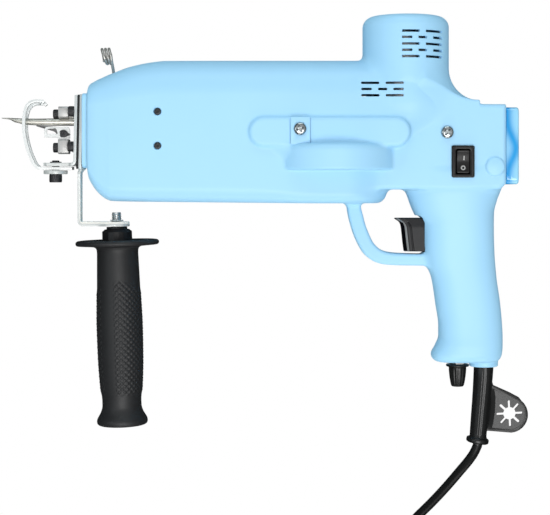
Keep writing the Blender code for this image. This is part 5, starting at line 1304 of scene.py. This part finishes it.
for y in np.linspace(RY - 7.4, RY + 7.2, 25):
    e = min(y - (RY - 7.4), RY + 7.2 - y)
    w = 4.25 - 0.45 * max(0.0, 1 - e / 0.8) ** 2
    top_ = float(line(y)) - 0.3 * max(0.0, 1 - e / 0.7) ** 2
    low_ = 19.4 + 0.06 * (y - RY) ** 2
    pts = [(RX - w, low_)] + [(RX - w + 0.5 * (1 - math.cos(math.radians(a))), top_ - 0.5 * (1 - math.sin(math.radians(a)))) for a in (0, 22, 45, 68, 90)]
    pts += [(RX - 2.2, top_ + 0.02), (RX, top_ + 0.03), (RX + 2.2, top_ + 0.02)]
    pts += [(RX + w - 0.5 * (1 - math.cos(math.radians(a))), top_ - 0.5 * (1 - math.sin(math.radians(a)))) for a in (90, 68, 45, 22, 0)] + [(RX + w, low_)]
    rings.append([(x, y, z) for x, z in pts])
paddle = piece("rocker_paddle", loft(rings), "switch", "rocker", "rocker", angle=40)


def on_paddle(outline, lift, deep):
    """Flat mark laid on the paddle's curved top."""
    return loft([[(x, y, float(line(y)) - deep) for x, y in outline], [(x, y, float(line(y)) + lift) for x, y in outline]])


mark_i = on_paddle(arcs([(RX + 0.1, RY + 0.8), (RX + 0.8, RY + 0.8), (RX + 0.95, RY + 3.7), (RX + 0.25, RY + 3.7)], 0.2, 3), 0.06, 0.15)
piece("rocker_mark_upper", mark_i, "mark", "rocker", ())
ring_rows = []
for r in (1.5, 0.86):
    ring_rows.append(circle(RX - 0.05, RY - 4.15, r, 36))
mark_o = bmesh.new()
layers = [[[mark_o.verts.new((x, y, float(line(y)) + dz)) for x, y in row] for row in ring_rows] for dz in (-0.15, 0.08)]
for i in range(36):
    j = (i + 1) % 36
    (lo_o, lo_i), (hi_o, hi_i) = layers
    mark_o.faces.new((lo_o[i], lo_o[j], hi_o[j], hi_o[i]))
    mark_o.faces.new((lo_i[j], lo_i[i], hi_i[i], hi_i[j]))
    mark_o.faces.new((hi_o[i], hi_o[j], hi_i[j], hi_i[i]))
    mark_o.faces.new((lo_o[j], lo_o[i], lo_i[i], lo_i[j]))
piece("rocker_mark_lower", mark_o, "mark", "rocker", ())

# ---------------------------------------------------------------- cord boot with its key-holder flap
BOOT_LINE = [(98.9, -126.0, 4.5), (98.9, -132.0, 4.5), (98.9, -139.5, 4.5), (98.9, -139.7, 4.6), (98.9, -139.85, 6.45), (98.85, -140.6, 6.55), (98.5, -147.0, 6.45), (97.9, -155.0, 6.25), (97.2, -163.0, 6.05), (96.45, -171.0, 5.9),
             (95.75, -179.0, 5.75), (95.3, -184.0, 5.65), (95.15, -186.2, 5.65), (95.1, -187.0, 6.1), (95.03, -187.45, 7.1), (94.98, -187.8, 7.4), (94.8, -188.9, 7.55), (94.62, -190.0, 7.4), (94.56, -190.4, 7.0), (94.5, -190.8, 6.3), (94.48, -190.85, 3.6)]
boot_n = 96
rings = []
for i, (x, y, r) in enumerate(BOOT_LINE):
    a, b = BOOT_LINE[max(i - 1, 0)], BOOT_LINE[min(i + 1, len(BOOT_LINE) - 1)]
    dx, dy = b[0] - a[0], b[1] - a[1]
    d = math.hypot(dx, dy)
    ux, uy = -dy / d, dx / d
    if i < 5:
        ux, uy = 1.0, 0.0
    if i >= 13:
        ux, uy = math.cos(math.radians(-9.0)), math.sin(math.radians(-9.0))
    ring = []
    for k in range(boot_n):
        t = 2 * math.pi * k / boot_n
        g = (math.degrees(t) - 90 + 180) % 360 - 180
        q = r
        if 5 <= i <= 12:      # a shallow groove along the near side and one along the far side
            for c in (0, 180):
                e = abs((g - c + 180) % 360 - 180)
                q -= 0.30 * max(0.0, 1 - (e / 9.0) ** 2)
                q += 0.16 * math.exp(-((e - 14.0) / 4.5) ** 2)
        ring.append((x + ux * q * math.cos(t), y + uy * q * math.cos(t), q * math.sin(t)))
    rings.append(ring)
boot = loft(rings)
FLAP = [(96.5, -149.6), (100.2, -149.4), (104.9, -151.9), (116.4, -157.0), (122.4, -160.2)]
FLAP += [(116.4 + 12.1 * math.cos(math.radians(a)), -171.8 + 12.1 * math.sin(math.radians(a))) for a in range(50, -80, -6)]
FLAP += [(117.4, -183.9), (102.5, -182.7), (95.5, -182.2)]
rim_in = [(96.5, -152.6), (104.0, -154.2), (115.4, -159.2), (120.9, -162.4)] + [(116.4 + 9.9 * math.cos(math.radians(a)), -171.8 + 9.9 * math.sin(math.radians(a))) for a in range(46, -76, -6)]
rim_in += [(116.4, -181.7), (102.3, -180.4), (95.5, -180.0)]
flap = soften(prism(FLAP, "z", -1.3, 1.3), 0.45, 3, 40)
for s in (1, -1):
    flap = cut(flap, prism(rim_in, "z", min(s * 0.85, s * 3), max(s * 0.85, s * 3)))
star = joined([lathe("z", (116.2, -171.0), [(4.2, -5), (4.2, 5)], 40)])
flap = cut(flap, star)
for k in range(8):
    a = math.radians(3 + 45 * k)
    c, s = math.cos(a), math.sin(a)
    flap = cut(flap, prism([(116.2 + c * u - s * v, -171.0 + s * u + c * v) for u, v in arcs([(0, -0.78), (8.7, -0.78), (8.7, 0.78), (0, 0.78)], [0, 0.7, 0.7, 0], 4)], "z", -5, 5))
# a swelling web where the flap grows out of the boot
web = []
for y, x, w in ((-150.4, 103.6, 0.5), (-153.0, 104.4, 1.2), (-160.0, 105.6, 1.6), (-170.0, 105.2, 1.6), (-178.0, 104.0, 1.3), (-181.6, 102.8, 0.5)):
    web.append([(x - 8.5, y, 3.4), (x - 4.2, y, 2.7 * w / 1.6 + 0.9), (x - 1.6, y, 1.25 * w / 1.6 + 0.75), (x + 1.2, y, 0.86), (x + 1.3, y, 0.0), (x + 1.2, y, -0.86), (x - 1.6, y, -1.25 * w / 1.6 - 0.75), (x - 4.2, y, -2.7 * w / 1.6 - 0.9), (x - 8.5, y, -3.4)])
boot = fuse(boot, loft(web), flap)
# the short throat that grips the lead where it leaves the boot
boot = fuse(boot, tube([(96.9, -186.4, 0.0), (95.9, -188.7, 0.0), (95.0, -190.9, 0.0), (94.45, -192.2, 0.0)], 3.32, 28))
boot_piece = piece("cord_boot_flap", boot, "boot", BODY, "cord_boot", angle=36)

# ---------------------------------------------------------------- inside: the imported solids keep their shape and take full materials
for name, mat in (("motor_can", "motor"), ("motor_end_plate", "alu"), ("motor_rotor", "copper"), ("drive_gear", "gear"), ("pinion", "brass"), ("gear_shaft", "steel"), ("gear_frame", "zinc"),
                  ("crank_pin", "steel"), ("connecting_rod", "alu")):
    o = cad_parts[name]
    o.data.materials.clear()
    o.data.materials.append(M[mat])

leave = to_row((95.0, -190.9, 0))

# ================================================================ floor and light
floor_m = bpy.data.materials.new("pale_floor")
floor_m.use_nodes = True
t = floor_m.node_tree
bsdf = t.nodes["Principled BSDF"]
bsdf.inputs["Base Color"].default_value = (0.68, 0.81, 0.82, 1)
bsdf.inputs["Roughness"].default_value = 0.85
shade = node(t, "ShaderNodeBsdfDiffuse", (0, 200))
shade.inputs["Color"].default_value = (0.045, 0.045, 0.045, 1)
em = node(t, "ShaderNodeEmission", (0, -300))
em.inputs["Color"].default_value = (1, 1, 1, 1)
em.inputs["Strength"].default_value = 1.0
lp = node(t, "ShaderNodeLightPath", (-300, 200))
mx = node(t, "ShaderNodeMixShader", (300, 0))
t.links.new(lp.outputs["Is Camera Ray"], mx.inputs[0])
gloss = node(t, "ShaderNodeMixShader", (150, 100))
t.links.new(lp.outputs["Is Glossy Ray"], gloss.inputs[0])
t.links.new(bsdf.outputs[0], gloss.inputs[1])
t.links.new(shade.outputs[0], gloss.inputs[2])
t.links.new(gloss.outputs[0], mx.inputs[1])
t.links.new(em.outputs[0], mx.inputs[2])
t.links.new(mx.outputs[0], t.nodes["Material Output"].inputs["Surface"])
bm = bmesh.new()
bmesh.ops.create_grid(bm, x_segments=1, y_segments=1, size=6.0)
floor = mesh_object("floor", bm)
floor.location = (0, 0, -0.0005)
floor.data.materials.append(floor_m)

world = bpy.data.worlds.new("studio")
bpy.context.scene.world = world
world.use_nodes = True
t = world.node_tree
bg = t.nodes["Background"]
co = node(t, "ShaderNodeTexCoord", (-900, 0))
sep = node(t, "ShaderNodeSeparateXYZ", (-700, 0))
t.links.new(co.outputs["Generated"], sep.inputs[0])
ramp = node(t, "ShaderNodeValToRGB", (-450, 0))
e = ramp.color_ramp.elements
e[0].position, e[0].color = 0.0, (0.50, 0.62, 0.63, 1)
e[1].position, e[1].color = 1.0, (0.93, 0.96, 0.96, 1)
k = e.new(0.30)
k.color = (0.47, 0.59, 0.60, 1)
k = e.new(0.62)
k.color = (0.75, 0.83, 0.84, 1)
t.links.new(sep.outputs["Z"], ramp.inputs[0])
mirror = node(t, "ShaderNodeValToRGB", (-450, -300))
e = mirror.color_ramp.elements
e[0].position, e[0].color = 0.0, (0.06, 0.06, 0.06, 1)
e[1].position, e[1].color = 1.0, (0.97, 0.98, 0.98, 1)
k = e.new(0.30)
k.color = (0.08, 0.08, 0.08, 1)
k = e.new(0.62)
k.color = (0.55, 0.56, 0.56, 1)
t.links.new(sep.outputs["Z"], mirror.inputs[0])
lp = node(t, "ShaderNodeLightPath", (-450, 300))
pick = node(t, "ShaderNodeMix", (-150, 0), data_type="RGBA")
t.links.new(lp.outputs["Is Glossy Ray"], pick.inputs[0])
t.links.new(ramp.outputs[0], pick.inputs[6])
t.links.new(mirror.outputs[0], pick.inputs[7])
t.links.new(pick.outputs[2], bg.inputs["Color"])
level = node(t, "ShaderNodeMapRange", (-150, 300))
for slot_, v in ((1, 0.0), (2, 1.0), (3, 0.60), (4, 0.72)):
    level.inputs[slot_].default_value = v
t.links.new(lp.outputs["Is Glossy Ray"], level.inputs[0])
t.links.new(level.outputs[0], bg.inputs["Strength"])


def area(name, at, look, size, power, colour=(1, 1, 1)):
    L = bpy.data.lights.new(name, "AREA")
    L.shape = "RECTANGLE"
    L.size, L.size_y = size
    L.energy = power
    L.color = colour
    o = bpy.data.objects.new(name, L)
    bpy.context.scene.collection.objects.link(o)
    o.location = at
    o.rotation_euler = (Vector(look) - Vector(at)).to_track_quat("-Z", "Y").to_euler()
    return o


area("key", (-0.04, -0.40, 1.38), (0.03, -0.02, 0.04), (0.9, 0.7), 11.6)
area("front", (0.05, -1.30, 0.34), (0.03, -0.02, 0.04), (1.2, 0.4), 5.0, (1.0, 0.98, 0.97))
area("left", (-1.1, 0.1, 0.9), (0.03, 0.0, 0.04), (0.5, 0.9), 2.0, (0.86, 0.95, 1.0))
area("back", (0.0, 1.20, 0.50), (0.03, 0.0, 0.04), (0.9, 0.4), 4.5, (0.82, 0.95, 1.0))

bpy.context.scene.view_settings.view_transform = "Standard"
